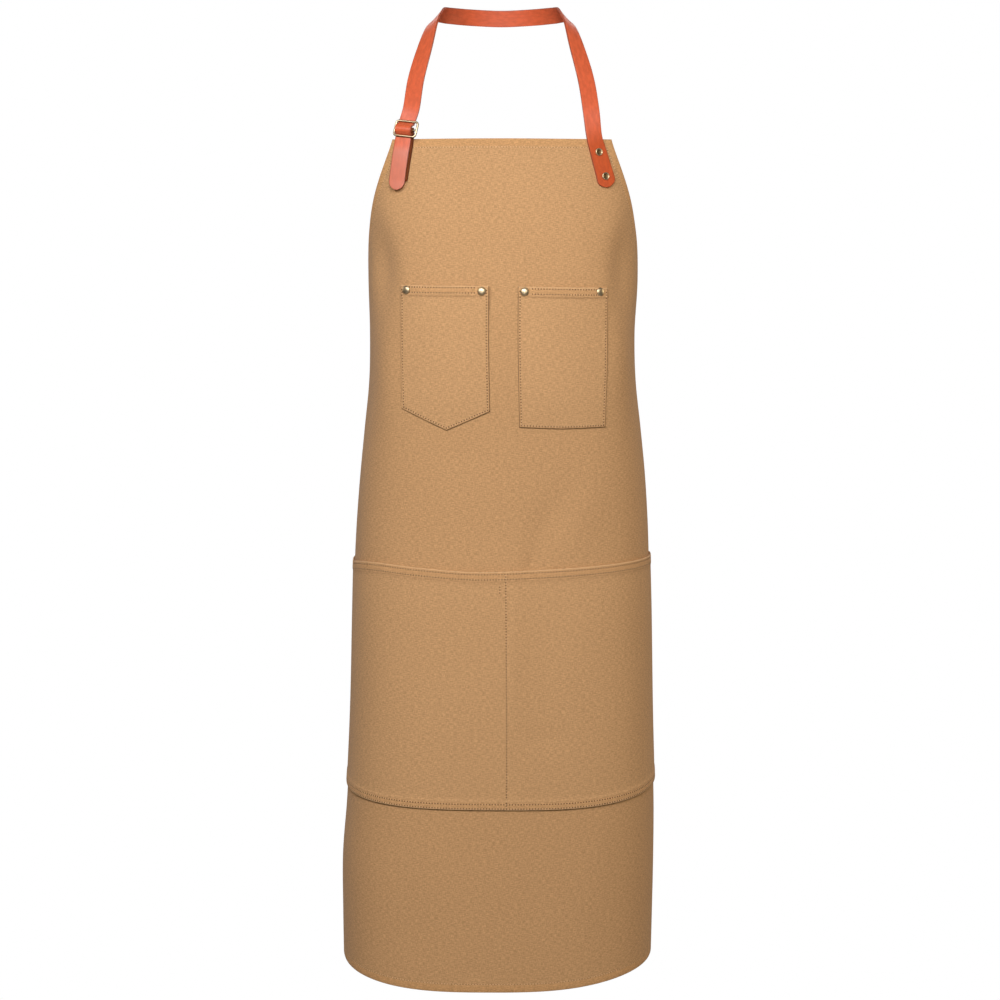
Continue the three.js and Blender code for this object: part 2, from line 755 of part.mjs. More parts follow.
const pocketStack = bandThick + GAP + CANVAS;
pocketSeats.flat().forEach((seat, i) => {
  seat.add(mesh(`pocket_rivet_${i + 1}`, rivetGeometry(domeHead(POCKET_RIVET), pocketStack), brass));
});
const strapStack = STRAP.thick + GAP + CANVAS + HEM.fold;
["strap_rivet_upper", "strap_rivet_lower"].forEach((name, i) => {
  const head = dishedHead(STRAP_RIVET, RIVET_DISH);
  strapRivetSeats[i].add(mesh(name, rivetGeometry(head, strapStack), brass));
});
const tabStack = tabLegs + GAP + CANVAS + HEM.fold;
tabRivetSeat.add(mesh("tab_rivet", rivetGeometry(flatHead(TAB_RIVET), tabStack), brass));
const toTabRivet = movedSeat(new THREE.Group(), TAB.rivet, 0);
freeSeat.add(
  mesh("buckle_frame", buckleGeometry(), brass),
  mesh("buckle_tab", drilled(tabGeometry(), [toTabRivet]), leather),
);
apron.add(...pocketSeats.flat(), ...strapRivetSeats, tabRivetSeat, freeSeat);

export default apron;
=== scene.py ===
"""Bib apron in tan canvas with a leather neck strap, in the form that it takes on its wearer.

Metres, +Z up. The front faces -Y, and +X is to the right as seen from the front.
The origin is the middle of the strap's inner face at the nape, where the apron hangs.

Places on the cloth are given as the distance along it from the centre line and the height.
"""

from __future__ import annotations

import json
import logging
import math
from dataclasses import dataclass, field
from enum import Enum

import bpy
import numpy as np
from mathutils import Matrix, Vector

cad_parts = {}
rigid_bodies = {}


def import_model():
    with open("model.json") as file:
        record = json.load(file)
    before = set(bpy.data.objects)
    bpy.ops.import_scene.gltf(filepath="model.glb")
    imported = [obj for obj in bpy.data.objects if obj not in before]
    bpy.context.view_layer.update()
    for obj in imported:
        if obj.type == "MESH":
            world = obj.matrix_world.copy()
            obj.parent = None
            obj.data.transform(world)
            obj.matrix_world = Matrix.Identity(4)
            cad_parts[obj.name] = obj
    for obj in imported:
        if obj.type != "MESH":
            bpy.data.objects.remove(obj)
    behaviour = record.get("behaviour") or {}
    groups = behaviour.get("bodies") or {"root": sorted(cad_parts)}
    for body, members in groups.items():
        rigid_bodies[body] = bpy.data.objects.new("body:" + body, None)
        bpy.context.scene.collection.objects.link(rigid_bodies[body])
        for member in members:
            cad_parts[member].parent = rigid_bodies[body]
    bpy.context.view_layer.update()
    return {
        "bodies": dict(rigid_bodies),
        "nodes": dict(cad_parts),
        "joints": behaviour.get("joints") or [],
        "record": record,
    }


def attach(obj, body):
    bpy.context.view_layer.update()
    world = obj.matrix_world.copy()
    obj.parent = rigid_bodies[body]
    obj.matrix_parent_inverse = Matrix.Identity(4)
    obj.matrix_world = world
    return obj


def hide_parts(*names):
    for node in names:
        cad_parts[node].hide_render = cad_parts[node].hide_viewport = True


LOG = logging.getLogger("bib_apron")
MM = 0.001
BODY = "root"

GAP = 0.3 * MM
CANVAS = 1.2 * MM
LEATHER = 1.8 * MM
DOWN = Vector((0, 0, -1))

MERGE = 0.001 * MM
ROUNDED_CORNER = math.radians(65)
SHEET_CREASE = math.radians(50)
BRASS_CREASE = math.radians(40)

Colour = tuple[float, float, float]
Pair = tuple[float, float]
Place = tuple[float, float, float]
Profile = list[Pair]


class Slot(Enum):
    """The record's material slots."""

    CANVAS = "canvas"
    POCKET = "pocket_canvas"
    LEATHER = "strap_leather"
    BRASS = "antique_brass"


class Wall(Enum):
    """Where a wall lies when a sheet is thickened."""

    BEHIND = -1
    MIDDLE = 0


# Modelling helpers


def start_alone() -> None:
    """Deselect everything, so that an operator acts on the new piece alone."""
    bpy.ops.object.select_all(action="DESELECT")


def choose(piece: bpy.types.Object) -> None:
    """Make a piece the only selected object, and the active one.

    Args:
        piece: The piece.
    """
    start_alone()
    piece.select_set(True)
    bpy.context.view_layer.objects.active = piece


def lattice(name: str, places: np.ndarray, pattern: np.ndarray) -> bpy.types.Object:
    """Add a grid and lay its points out as a sheet of cloth or leather.

    Args:
        name: The new piece's name.
        places: Points by row, column and coordinate. Rows run down, and columns to the right.
        pattern: The same points' pattern coordinates, in metres, for the piece's UV map.

    Returns:
        The sheet, one layer thick, with its faces looking out.
    """
    rows, columns = places.shape[:2]
    start_alone()
    bpy.ops.mesh.primitive_grid_add(x_subdivisions=columns - 1, y_subdivisions=rows - 1, size=1)
    piece = bpy.context.object
    piece.name = piece.data.name = name
    mesh = piece.data
    mesh.vertices.foreach_set("co", places[::-1].ravel())
    corners = np.empty(len(mesh.loops), dtype=np.int32)
    mesh.loops.foreach_get("vertex_index", corners)
    mesh.uv_layers.active.data.foreach_set("uv", pattern[::-1].reshape(-1, 2)[corners].ravel())
    mesh.update()
    return piece


def mark(piece: bpy.types.Object, name: str, values: np.ndarray) -> None:
    """Keep a number for each point of a lattice, by row and column, for its material to read."""
    layer = piece.data.attributes.new(name, "FLOAT", "POINT")
    layer.data.foreach_set("value", np.ascontiguousarray(values[::-1], dtype=np.float32).ravel())


def thicken(
    piece: bpy.types.Object,
    thickness: float,
    side: Wall,
    rounding: float,
    folded: np.ndarray | None = None,
    fold_share: float = 1.0,
    rim_slot: int = 0,
    back_slot: int = 0,
) -> None:
    """Give a sheet its wall and round the wall's corners.

    Args:
        piece: The sheet, one layer thick.
        thickness: The wall where the sheet is folded, or everywhere if nothing is.
        side: Where the wall lies.
        rounding: Radius of the rounded corners.
        folded: Whether each point of the lattice is in a fold, by row and column.
        fold_share: The plain wall as a share of the folded one.
        rim_slot: Steps up the material slots for the wall's edge.
        back_slot: Steps up the material slots for the wall's far face.
    """
    choose(piece)
    wall = piece.modifiers.new("wall", "SOLIDIFY")
    wall.thickness = thickness
    wall.offset = side.value
    wall.use_even_offset = True
    wall.material_offset = back_slot
    wall.material_offset_rim = rim_slot
    if folded is not None:
        group = piece.vertex_groups.new(name="folded")
        group.add(np.flatnonzero(folded[::-1].ravel()).tolist(), 1.0, "REPLACE")
        wall.vertex_group = group.name
        wall.thickness_vertex_group = fold_share
    round_off = piece.modifiers.new("round_off", "BEVEL")
    round_off.limit_method = "ANGLE"
    round_off.angle_limit = ROUNDED_CORNER
    round_off.width = rounding
    round_off.segments = 2
    round_off.loop_slide = False
    for modifier in ("wall", "round_off"):
        bpy.ops.object.modifier_apply(modifier=modifier)
    piece.vertex_groups.clear()
    bpy.ops.object.shade_smooth_by_angle(angle=SHEET_CREASE)


def turned(name: str, profile: Profile, sides: int) -> bpy.types.Object:
    """Draw a profile edge by edge and spin it round the Y axis.

    Args:
        name: The new piece's name.
        profile: Radius and height of each point, from the foot's middle to the head's middle.
        sides: Facets round the piece.

    Returns:
        The turned piece, standing on the origin along Y.
    """
    start_alone()
    bpy.ops.mesh.primitive_plane_add(size=MM)
    piece = bpy.context.object
    piece.name = piece.data.name = name
    bpy.ops.object.mode_set(mode="EDIT")
    bpy.ops.mesh.select_all(action="SELECT")
    bpy.ops.mesh.merge(type="CENTER")
    bpy.ops.transform.translate(value=(*profile[0], 0))
    for (radius, height), (next_radius, next_height) in zip(profile, profile[1:]):
        step = (next_radius - radius, next_height - height, 0)
        bpy.ops.mesh.extrude_vertices_move(TRANSFORM_OT_translate={"value": step})
    bpy.ops.mesh.select_all(action="SELECT")
    bpy.ops.mesh.spin(steps=sides, angle=2 * math.pi, center=(0, 0, 0), axis=(0, 1, 0))
    bpy.ops.mesh.select_all(action="SELECT")
    bpy.ops.mesh.remove_doubles(threshold=MERGE)
    bpy.ops.mesh.normals_make_consistent(inside=False)
    bpy.ops.object.mode_set(mode="OBJECT")
    bpy.ops.object.shade_smooth_by_angle(angle=BRASS_CREASE)
    return piece


def move_points(piece: bpy.types.Object, chosen: list[int], shift: Place) -> None:
    """Select some of a piece's points and move them.

    Args:
        piece: The piece.
        chosen: The points' numbers.
        shift: How far they move.
    """
    choose(piece)
    bpy.ops.object.mode_set(mode="EDIT")
    bpy.ops.mesh.select_all(action="DESELECT")
    bpy.ops.object.mode_set(mode="OBJECT")
    for index in chosen:
        piece.data.vertices[index].select = True
    bpy.ops.object.mode_set(mode="EDIT")
    bpy.ops.transform.translate(value=shift)
    bpy.ops.object.mode_set(mode="OBJECT")


def lay_in_place(piece: bpy.types.Object, seat: Matrix) -> None:
    """Move a piece's mesh to its seat, and leave the object at the origin."""
    piece.data.transform(seat)
    piece.data.update()


def dress(piece: bpy.types.Object, slot: Slot, *materials: bpy.types.Material) -> None:
    """Give a piece its materials and its ride on the frame.

    Args:
        piece: The piece.
        slot: Not used.
        materials: Its materials, in the order of their slots on the mesh.
    """
    piece.data.materials.clear()
    for material in materials:
        piece.data.materials.append(material)
    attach(piece, BODY)
    LOG.info("%s: %d faces", piece.name, len(piece.data.polygons))


def steps_between(*stops: float, pitch: float) -> np.ndarray:
    """Spread numbers evenly between each pair of stops.

    Args:
        stops: The stops, which are all kept.
        pitch: Longest step between two numbers.

    Returns:
        The numbers, from the first stop to the last.
    """
    slack = 1e-6
    spread = [np.array([stops[0]])]
    for low, high in zip(stops, stops[1:]):
        count = max(1, math.ceil(abs(high - low) / pitch - slack))
        spread.append(np.linspace(low, high, count + 1)[1:])
    return np.concatenate(spread)


def run_along(line: np.ndarray) -> np.ndarray:
    """Distance of each of a line's points from its first, along the line."""
    return np.concatenate([[0], np.cumsum(np.linalg.norm(np.diff(line, axis=0), axis=1))])


def hill(distance: np.ndarray, reach: float) -> np.ndarray:
    """A smooth hill, 1 in the middle and near nothing past twice its reach."""
    return np.exp(-((distance / reach) ** 2))


def ramp(value: np.ndarray, low: float, high: float) -> np.ndarray:
    """A smooth step from 0 at low to 1 at high."""
    t = np.clip((value - low) / (high - low), 0, 1)
    return t * t * (3 - 2 * t)


def cubic(
    t: np.ndarray, begin: np.ndarray, rise: np.ndarray, start: np.ndarray, end: np.ndarray
) -> np.ndarray:
    """A cubic from a beginning through a rise, with its slopes at the start and the end."""
    return begin + t * (start + t * (3 * rise - 2 * start - end + t * (start + end - 2 * rise)))


def through(stops: np.ndarray, values: np.ndarray, where: np.ndarray) -> np.ndarray:
    """Find values between stops, by a cubic through the neighbouring ones.

    Args:
        stops: The stops, which rise.
        values: The value at each stop.
        where: Places between the stops.

    Returns:
        The value at each place.
    """
    slope = np.gradient(values, stops)
    slope[1:-1] = (values[2:] - values[:-2]) / (stops[2:] - stops[:-2])
    k = np.clip(np.searchsorted(stops, where, side="right") - 1, 0, len(stops) - 2)
    run = stops[k + 1] - stops[k]
    t = (where - stops[k]) / run
    return cubic(t, values[k], values[k + 1] - values[k], slope[k] * run, slope[k + 1] * run)


# The worn form


@dataclass(frozen=True)
class Section:
    """One level of the worn form, in millimetres: half width, front reach and sideways sway."""

    z: float
    side: float
    front: float
    sway: float


@dataclass(frozen=True)
class Fold:
    """A soft fold or dent, in millimetres: an oval rise that leans from upright by an angle in degrees."""

    along: float
    z: float
    length: float
    width: float
    lean: float
    height: float

    def rise(self, along: np.ndarray, z: np.ndarray) -> np.ndarray:
        """How far the fold lifts the cloth.

        Args:
            along: Distances along the cloth, in metres.
            z: Heights, in metres.

        Returns:
            The lift at each place, in metres.
        """
        right, up = along / MM - self.along, z / MM - self.z
        sine, cosine = math.sin(math.radians(self.lean)), math.cos(math.radians(self.lean))
        lengthwise = (right * sine + up * cosine) / self.length
        across = (right * cosine - up * sine) / self.width
        return self.height * MM * np.exp(-(lengthwise**2) - across**2)


@dataclass
class WornForm:
    """The cloth's outer face as a body holds it: a full front, and an ellipse behind the sides."""

    side_y: float = -70 * MM
    fullness: float = 2.7
    back_depth: float = 100 * MM
    reach: float = 400 * MM
    pitch: float = 2 * MM
    turn_points: int = 241
    normal_reach: float = 4 * MM
    sections: tuple[Section, ...] = (
        Section(-90, 153, -141, 0),
        Section(-125, 150, -150, 0),
        Section(-165, 146, -159.6, 0),
        Section(-205, 143.4, -169, 0.3),
        Section(-240, 142.4, -175, 1),
        Section(-280, 142, -181, 1.2),
        Section(-330, 140, -184, 0.4),
        Section(-380, 141.2, -184.8, 0.6),
        Section(-430, 146.4, -182.6, 0.8),
        Section(-480, 151.4, -182, 0.8),
        Section(-530, 155, -182.3, 0.4),
        Section(-575, 157, -184.6, 0),
        Section(-625, 158.5, -186.6, 0),
        Section(-730, 161, -188.8, -0.4),
        Section(-830, 165, -190.3, -1.6),
        Section(-890, 167.4, -191, -4),
        Section(-950, 167, -191.5, -4.6),
        Section(-1040, 165.5, -192, -5),
    )
    folds: tuple[Fold, ...] = (
        Fold(46, -522, 42, 17, 22, -3.0),
        Fold(88, -511, 40, 18, 25, 1.2),
        Fold(53, -662, 75, 17, 0, -1.3),
        Fold(45, -745, 11, 20, 0, -1.0),
        Fold(35, -152, 45, 20, 50, -0.9),
        Fold(40, -254, 30, 16, 40, -0.7),
        Fold(-54, -450, 12, 30, 0, -0.7),
        Fold(-67, -895, 55, 20, -10, 1.1),
        Fold(19, -905, 60, 22, 0, -1.1),
        Fold(101, -895, 60, 22, 10, 1.1),
        Fold(-28, -994, 8, 12, 0, -0.9),
        Fold(-135, -260, 38, 20, 0, -6.2),
        Fold(135, -264, 40, 20, 0, -6.2),
        Fold(-129, -372, 58, 25, 0, 3.2),
        Fold(127, -356, 65, 29, 0, 5.8),
        Fold(-124, -210, 22, 20, 0, 1.6),
        Fold(122, -212, 22, 20, 0, 2.0),
        Fold(12, -655, 108, 12, 0, 2.8),
        Fold(9, -905, 80, 16, 0, 1.5),
    )

    def __post_init__(self) -> None:
        """Tabulate the outer face by height and by distance along the cloth."""
        self.heights = np.arange(self.sections[-1].z * MM, self.sections[0].z * MM, self.pitch)
        self.alongs = np.arange(0, self.reach, self.pitch)
        side, front, self.sways = (self.column(name) for name in ("side", "front", "sway"))
        turn = np.linspace(0, math.pi / 2, self.turn_points)
        power = 2 / self.fullness
        table = []
        for half, depth in zip(side, self.side_y - front):
            x = np.concatenate([half * np.sin(turn) ** power, half * np.cos(turn[1:])])
            before = self.side_y - depth * np.clip(np.cos(turn), 0, 1) ** power
            y = np.concatenate([before, self.side_y + self.back_depth * np.sin(turn[1:])])
            run = run_along(np.stack([x, y], axis=-1))
            table.append([np.interp(self.alongs, run, x), np.interp(self.alongs, run, y)])
        self.table = np.array(table)

    def column(self, name: str) -> np.ndarray:
        """One size of the sections at every tabulated height, by a cubic through neighbouring levels.

        Args:
            name: The size's name.

        Returns:
            The size at each height, in metres.
        """
        levels = self.sections[::-1]
        z = np.array([level.z for level in levels]) * MM
        return through(z, np.array([getattr(level, name) for level in levels]) * MM, self.heights)

    def points(self, along: np.ndarray, z: np.ndarray) -> np.ndarray:
        """Places on the outer face.

        Args:
            along: Distances along the cloth from the centre line, minus to the left.
            z: Heights, of the same shape.

        Returns:
            The points, with a last axis of three.
        """
        inside = 1.001
        row = np.clip((z - self.heights[0]) / self.pitch, 0, len(self.heights) - inside)
        step = np.clip(np.abs(along) / self.pitch, 0, len(self.alongs) - inside)
        i, j = row.astype(int), step.astype(int)
        a, b = row - i, step - j
        x, y = (
            (1 - a) * ((1 - b) * self.table[i, axis, j] + b * self.table[i, axis, j + 1])
            + a * ((1 - b) * self.table[i + 1, axis, j] + b * self.table[i + 1, axis, j + 1])
            for axis in (0, 1)
        )
        sway = (1 - a) * self.sways[i] + a * self.sways[i + 1]
        return np.stack([np.sign(along) * x + sway, y, z], axis=-1)

    def normals(self, along: np.ndarray, z: np.ndarray) -> np.ndarray:
        """The way that the outer face looks, without its folds.

        Args:
            along: Distances along the cloth.
            z: Heights.

        Returns:
            A unit vector for each place.
        """
        reach = self.normal_reach
        across = self.points(along + reach, z) - self.points(along - reach, z)
        down = self.points(along, z - reach) - self.points(along, z + reach)
        normal = np.cross(down, across)
        return normal / np.linalg.norm(normal, axis=-1, keepdims=True)

    def lifted(self, along: np.ndarray, z: np.ndarray, lift: np.ndarray | float) -> np.ndarray:
        """Places off the outer face, with the soft folds in it.

        Args:
            along: Distances along the cloth.
            z: Heights.
            lift: How far the places are off the face.

        Returns:
            The points, with a last axis of three.
        """
        along, z = np.broadcast_arrays(along, z)
        rise = sum((fold.rise(along, z) for fold in self.folds), np.zeros(z.shape))
        return self.points(along, z) + self.normals(along, z) * (rise + lift)[..., None]

    def seat(self, x: float, z: float, lean: float) -> Matrix:
        """A seat on the front: X runs down and sideways by the lean, Y looks out, and Z is to the left.

        Args:
            x: The seat's place across the front.
            z: Its height.
            lean: Sideways run for each unit down.

        Returns:
            The seat as a matrix from its own axes to the frame.
        """
        front = self.alongs[self.alongs < self.reach / 3]
        places = self.points(front, np.full(front.shape, z))[:, 0]
        along = np.array(math.copysign(np.interp(abs(x), places, front), x))
        return self.seat_at(along, np.array(z), Vector((lean, 0, -1)), 0)

    def seat_at(self, along: np.ndarray, z: np.ndarray, run: Vector, lift: float) -> Matrix:
        """A seat at a place on the cloth, with X along a run as far as the cloth lets it.

        Args:
            along: The place's distance along the cloth.
            z: Its height.
            run: The way that X is to go.
            lift: How far the seat is off the cloth.

        Returns:
            The seat as a matrix from its own axes to the frame.
        """
        out = Vector(self.normals(along, z))
        down = (run - out * run.dot(out)).normalized()
        seat = Matrix((down, out, down.cross(out))).transposed().to_4x4()
        seat.translation = Vector(self.points(along, z)) + out * lift
        return seat


# Stitching


@dataclass
class Stitching:
    """The thread of one sewn piece: a stitch and a dark disc of painted shade for its needle hole, modelled
    once and laid along the seams.
    """

    name: str
    pitch: float = 3.0 * MM
    length: float = 1.6 * MM
    width: float = 0.85 * MM
    height: float = 0.5 * MM
    sides: int = 6
    rings: int = 4
    hole_shade: float = 0.72 * MM
    hole_shade_lift: float = 0.1 * MM
    slant: float = 0.12
    seats: list[np.ndarray] = field(default_factory=list)

    def sew(self, line: np.ndarray, outward: np.ndarray) -> None:
        """Lay a row of stitches along a line.

        Args:
            line: Points along the seam, on the face that it shows on.
            outward: The way that the face looks at each point.
        """
        run = run_along(line)
        count = max(1, round(run[-1] / self.pitch))
        middle = (np.arange(count) + 0.5) * run[-1] / count

        def at(values: np.ndarray, where: np.ndarray) -> np.ndarray:
            """Values between the line's points, by distance along it."""
            return np.stack([np.interp(where, run, values[:, axis]) for axis in range(3)], axis=-1)

        ahead = at(line, middle + self.length / 2) - at(line, middle - self.length / 2)
        ahead /= np.linalg.norm(ahead, axis=1, keepdims=True)
        out = at(outward, middle)
        out -= ahead * np.sum(ahead * out, axis=1, keepdims=True)
        out /= np.linalg.norm(out, axis=1, keepdims=True)
        across = np.cross(ahead, out)
        ahead, across = ahead + self.slant * across, across - self.slant * ahead
        self.seats.append(np.stack([ahead, out, across, at(line, middle)], axis=1))

    def model(self) -> tuple[np.ndarray, np.ndarray, np.ndarray]:
        """Model one stitch with a dark disc beside it, painted shade for the needle hole.

        Returns:
            Its points, its triangles, and each triangle's material slot.
        """
        start_alone()
        bpy.ops.mesh.primitive_uv_sphere_add(
            segments=self.sides, ring_count=self.rings, radius=0.5, rotation=(0, math.pi / 2, 0)
        )
        stitch = bpy.context.object
        bpy.ops.object.transform_apply()
        bpy.ops.object.mode_set(mode="EDIT")
        bpy.ops.mesh.select_all(action="SELECT")
        bpy.ops.transform.resize(value=(self.length, self.height, self.width), center_override=(0, 0, 0))
        bpy.ops.mesh.quads_convert_to_tris()
        bpy.ops.mesh.select_all(action="DESELECT")
        # A flat dark disc beside the stitch: painted shade where the needle hole is.
        bpy.ops.mesh.primitive_circle_add(
            vertices=self.sides, radius=self.hole_shade, fill_type="TRIFAN", rotation=(-math.pi / 2, 0, 0)
        )
        bpy.ops.transform.translate(value=(self.pitch / 2, self.hole_shade_lift, 0))
        bpy.ops.object.mode_set(mode="OBJECT")
        mesh = stitch.data
        thread = len(mesh.polygons) - self.sides
        points = np.empty(len(mesh.vertices) * 3)
        mesh.vertices.foreach_get("co", points)
        triangles = np.empty(len(mesh.polygons) * 3, dtype=np.int32)
        mesh.polygons.foreach_get("vertices", triangles)
        slots = (np.arange(len(mesh.polygons)) >= thread).astype(np.int32)
        bpy.data.objects.remove(stitch)
        return points.reshape(-1, 3), triangles.reshape(-1, 3), slots

    def build(self, slot: Slot, *materials: bpy.types.Material) -> bpy.types.Object:
        """Copy the stitch to every seat and join the copies as one piece.

        Args:
            slot: The record's slot for the sewn piece.
            materials: The thread, and the shade in the needle holes.

        Returns:
            The stitching.
        """
        points, triangles, slots = self.model()
        seats = np.concatenate(self.seats)
        laid = np.einsum("pk,nkc->npc", points, seats[:, :3]) + seats[:, None, 3]
        shift = np.arange(len(seats))[:, None, None] * len(points)
        mesh = bpy.data.meshes.new(self.name)
        mesh.from_pydata(laid.reshape(-1, 3).tolist(), [], (triangles + shift).reshape(-1, 3).tolist())
        mesh.polygons.foreach_set("use_smooth", np.ones(len(mesh.polygons), dtype=bool))
        piece = bpy.data.objects.new(self.name, mesh)
        bpy.context.scene.collection.objects.link(piece)
        dress(piece, slot, *materials)
        mesh.polygons.foreach_set("material_index", np.tile(slots, len(seats)))
        return piece


# Cloth pieces


@dataclass
class ApronPanel:
    """Bib and skirt, one cut of canvas with a stitched hem all round."""

    form: WornForm
    top: float = -124.6 * MM
    bottom: float = -1016 * MM
    bib_half: float = 116 * MM
    skirt_half: float = 345 * MM
    armhole_depth: float = 330 * MM
    armhole_bend: float = 1.18
    corner_drop: float = 1.4 * MM
    corner_fade: float = 4
    hem_rise: float = 21 * MM
    hem_rise_reach: float = 175 * MM
    hem_rise_from: float = -830 * MM
    hem_lowest: float = -14 * MM
    hem_flatness: float = 3.2
    hem: float = 11 * MM
    hem_ramp: float = 1 * MM
    hem_ease: float = 0.5 * MM
    hem_stitch: float = 9 * MM
    hem_wall: float = 2.4 * MM
    groove: float = 0.15 * MM
    groove_width: float = 1.1 * MM
    groove_step: float = 0.9 * MM
    roll: float = 0.4 * MM
    roll_reach: float = 1.5 * MM
    rounding: float = 0.4 * MM
    pitch: float = 4.3 * MM
    area_samples: int = 400
    side_samples: int = 500
    hem_samples: int = 300
    dents: tuple[Fold, ...] = (
        Fold(31, -562, 14, 6.5, 4, -2.2),
        Fold(-11.5, -284, 14, 4.5, 0, -1.3),
        Fold(-21, -280, 9, 9, 0, -0.5),
        Fold(21, -280, 9, 9, 0, -0.5),
    )

    def half_cut(self, z: np.ndarray) -> np.ndarray:
        """Half of the cut's width at a height."""
        depth = np.clip((self.top - z) / self.armhole_depth, 0, 1)
        return self.bib_half + (self.skirt_half - self.bib_half) * depth**self.armhole_bend

    def edge_shift(self, along: np.ndarray, z: np.ndarray) -> np.ndarray:
        """How far the top edge drops to its corners, and the hem rises round the body.

        Args:
            along: Distances along the cloth.
            z: Heights on the flat cut.

        Returns:
            The shift up at each place.
        """
        near_top = np.clip(1 - (self.top - z) / self.armhole_depth, 0, None)
        near_hem = np.clip((self.hem_rise_from - z) / (self.hem_rise_from - self.bottom), 0, None)
        from_lowest = np.abs((along - self.hem_lowest) / self.hem_rise_reach)
        rise = self.hem_rise * (1 - np.exp(-(from_lowest**self.hem_flatness)))
        drop = self.corner_drop * (along / self.bib_half) ** 2 * near_top**self.corner_fade
        return rise * near_hem - drop

    def from_edge(self, along: np.ndarray, z: np.ndarray) -> np.ndarray:
        """Distance of each place from the nearest edge of the cut."""
        return np.minimum(np.minimum(self.top - z, z - self.bottom), self.half_cut(z) - np.abs(along))

    def face(self, along: np.ndarray, z: np.ndarray, lift: float = 0) -> np.ndarray:
        """Places on the front, with the hem's groove and rolled edge in it, or lifted off it.

        Args:
            along: Distances along the cloth.
            z: Heights on the flat cut.
            lift: How far the places are off the front.

        Returns:
            The points, with a last axis of three.
        """
        edge = self.from_edge(along, z)
        rise = -self.groove * hill(edge - self.hem_stitch, self.groove_width)
        rise = rise - self.roll * np.clip(1 - edge / self.roll_reach, 0, 1) ** 2
        rise = rise + sum((dent.rise(along, z) for dent in self.dents), np.zeros(z.shape))
        return self.form.lifted(along, z + self.edge_shift(along, z), rise + lift)

    def hem_steps(self) -> tuple[float, ...]:
        """Distances from an edge where the hem's shape changes."""
        groove = (self.hem_stitch - self.groove_step, self.hem_stitch, self.hem_stitch + self.groove_step)
        return (0, self.roll_reach, self.hem_stitch / 2, *groove, self.hem, self.hem + self.hem_ramp)

    def layout(self) -> tuple[np.ndarray, np.ndarray]:
        """Lay out the panel's lattice.

        Returns:
            Distances along the cloth and heights on the flat cut, by row and column.
        """
        hem = self.hem_steps()
        heights = steps_between(
            *(self.top - step for step in hem), *(self.bottom + step for step in hem[::-1]), pitch=self.pitch
        )
        inner = steps_between(-1, 1, pitch=self.pitch / (self.skirt_half - hem[-1]))
        rows = []
        for half in self.half_cut(heights):
            side = half - np.array(hem[:-1])
            rows.append(np.concatenate([-side, inner * (half - hem[-1]), side[::-1]]))
        along = np.array(rows)
        return along, np.broadcast_to(heights[:, None], along.shape)

    def flat_area(self) -> float:
        """Area of the flat cut."""
        z = np.linspace(self.bottom, self.top, self.area_samples)
        return float(np.mean(2 * self.half_cut(z)) * (self.top - self.bottom))

    def hem_lines(self) -> list[tuple[np.ndarray, np.ndarray]]:
        """Draw the hem's stitch lines.

        Returns:
            Distances along the cloth and heights of each line.
        """
        inset = self.hem_stitch
        z = np.linspace(self.top - inset, self.bottom + inset, self.side_samples)
        side = self.half_cut(z) - inset
        lines = [(-side, z), (side, z)]
        for height in (self.top - inset, self.bottom + inset):
            half = float(self.half_cut(np.array(height))) - inset
            along = np.linspace(-half, half, self.hem_samples)
            lines.append((along, np.full(along.shape, height)))
        return lines

    def build(self, cloth: bpy.types.Material, thread: Stitching) -> bpy.types.Object:
        """Lay out the panel, give it its wall and sew its hem.

        Args:
            cloth: The canvas.
            thread: The stitching that takes the hem's rows, on both faces.

        Returns:
            The panel.
        """
        along, z = self.layout()
        edge = self.from_edge(along, z)
        panel = lattice("apron_panel_cloth", self.face(along, z), np.stack([along, z], axis=-1))
        mark(panel, "edge", edge)
        folded = edge < self.hem + self.hem_ease
        thicken(panel, self.hem_wall, Wall.BEHIND, self.rounding, folded, CANVAS / self.hem_wall)
        dress(panel, Slot.CANVAS, cloth)
        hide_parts("apron_panel")
        for line, height in self.hem_lines():
            self.sew_through(thread, line, height, self.hem_wall)
        return panel

    def sew_through(
        self, thread: Stitching, along: np.ndarray, z: np.ndarray, wall: float, front: bool = True
    ) -> None:
        """Sew a line through the panel, so that it shows behind it and, for a hem, on its front too.

        Args:
            thread: The stitching that takes the line.
            along: Distances of the line's points along the cloth.
            z: Their heights.
            wall: Thickness of the cloth along the line.
            front: Whether the line shows on the panel's front.
        """
        outward = self.form.normals(along, z)
        if front:
            thread.sew(self.face(along, z), outward)
        thread.sew(self.face(along, z, -wall), -outward)


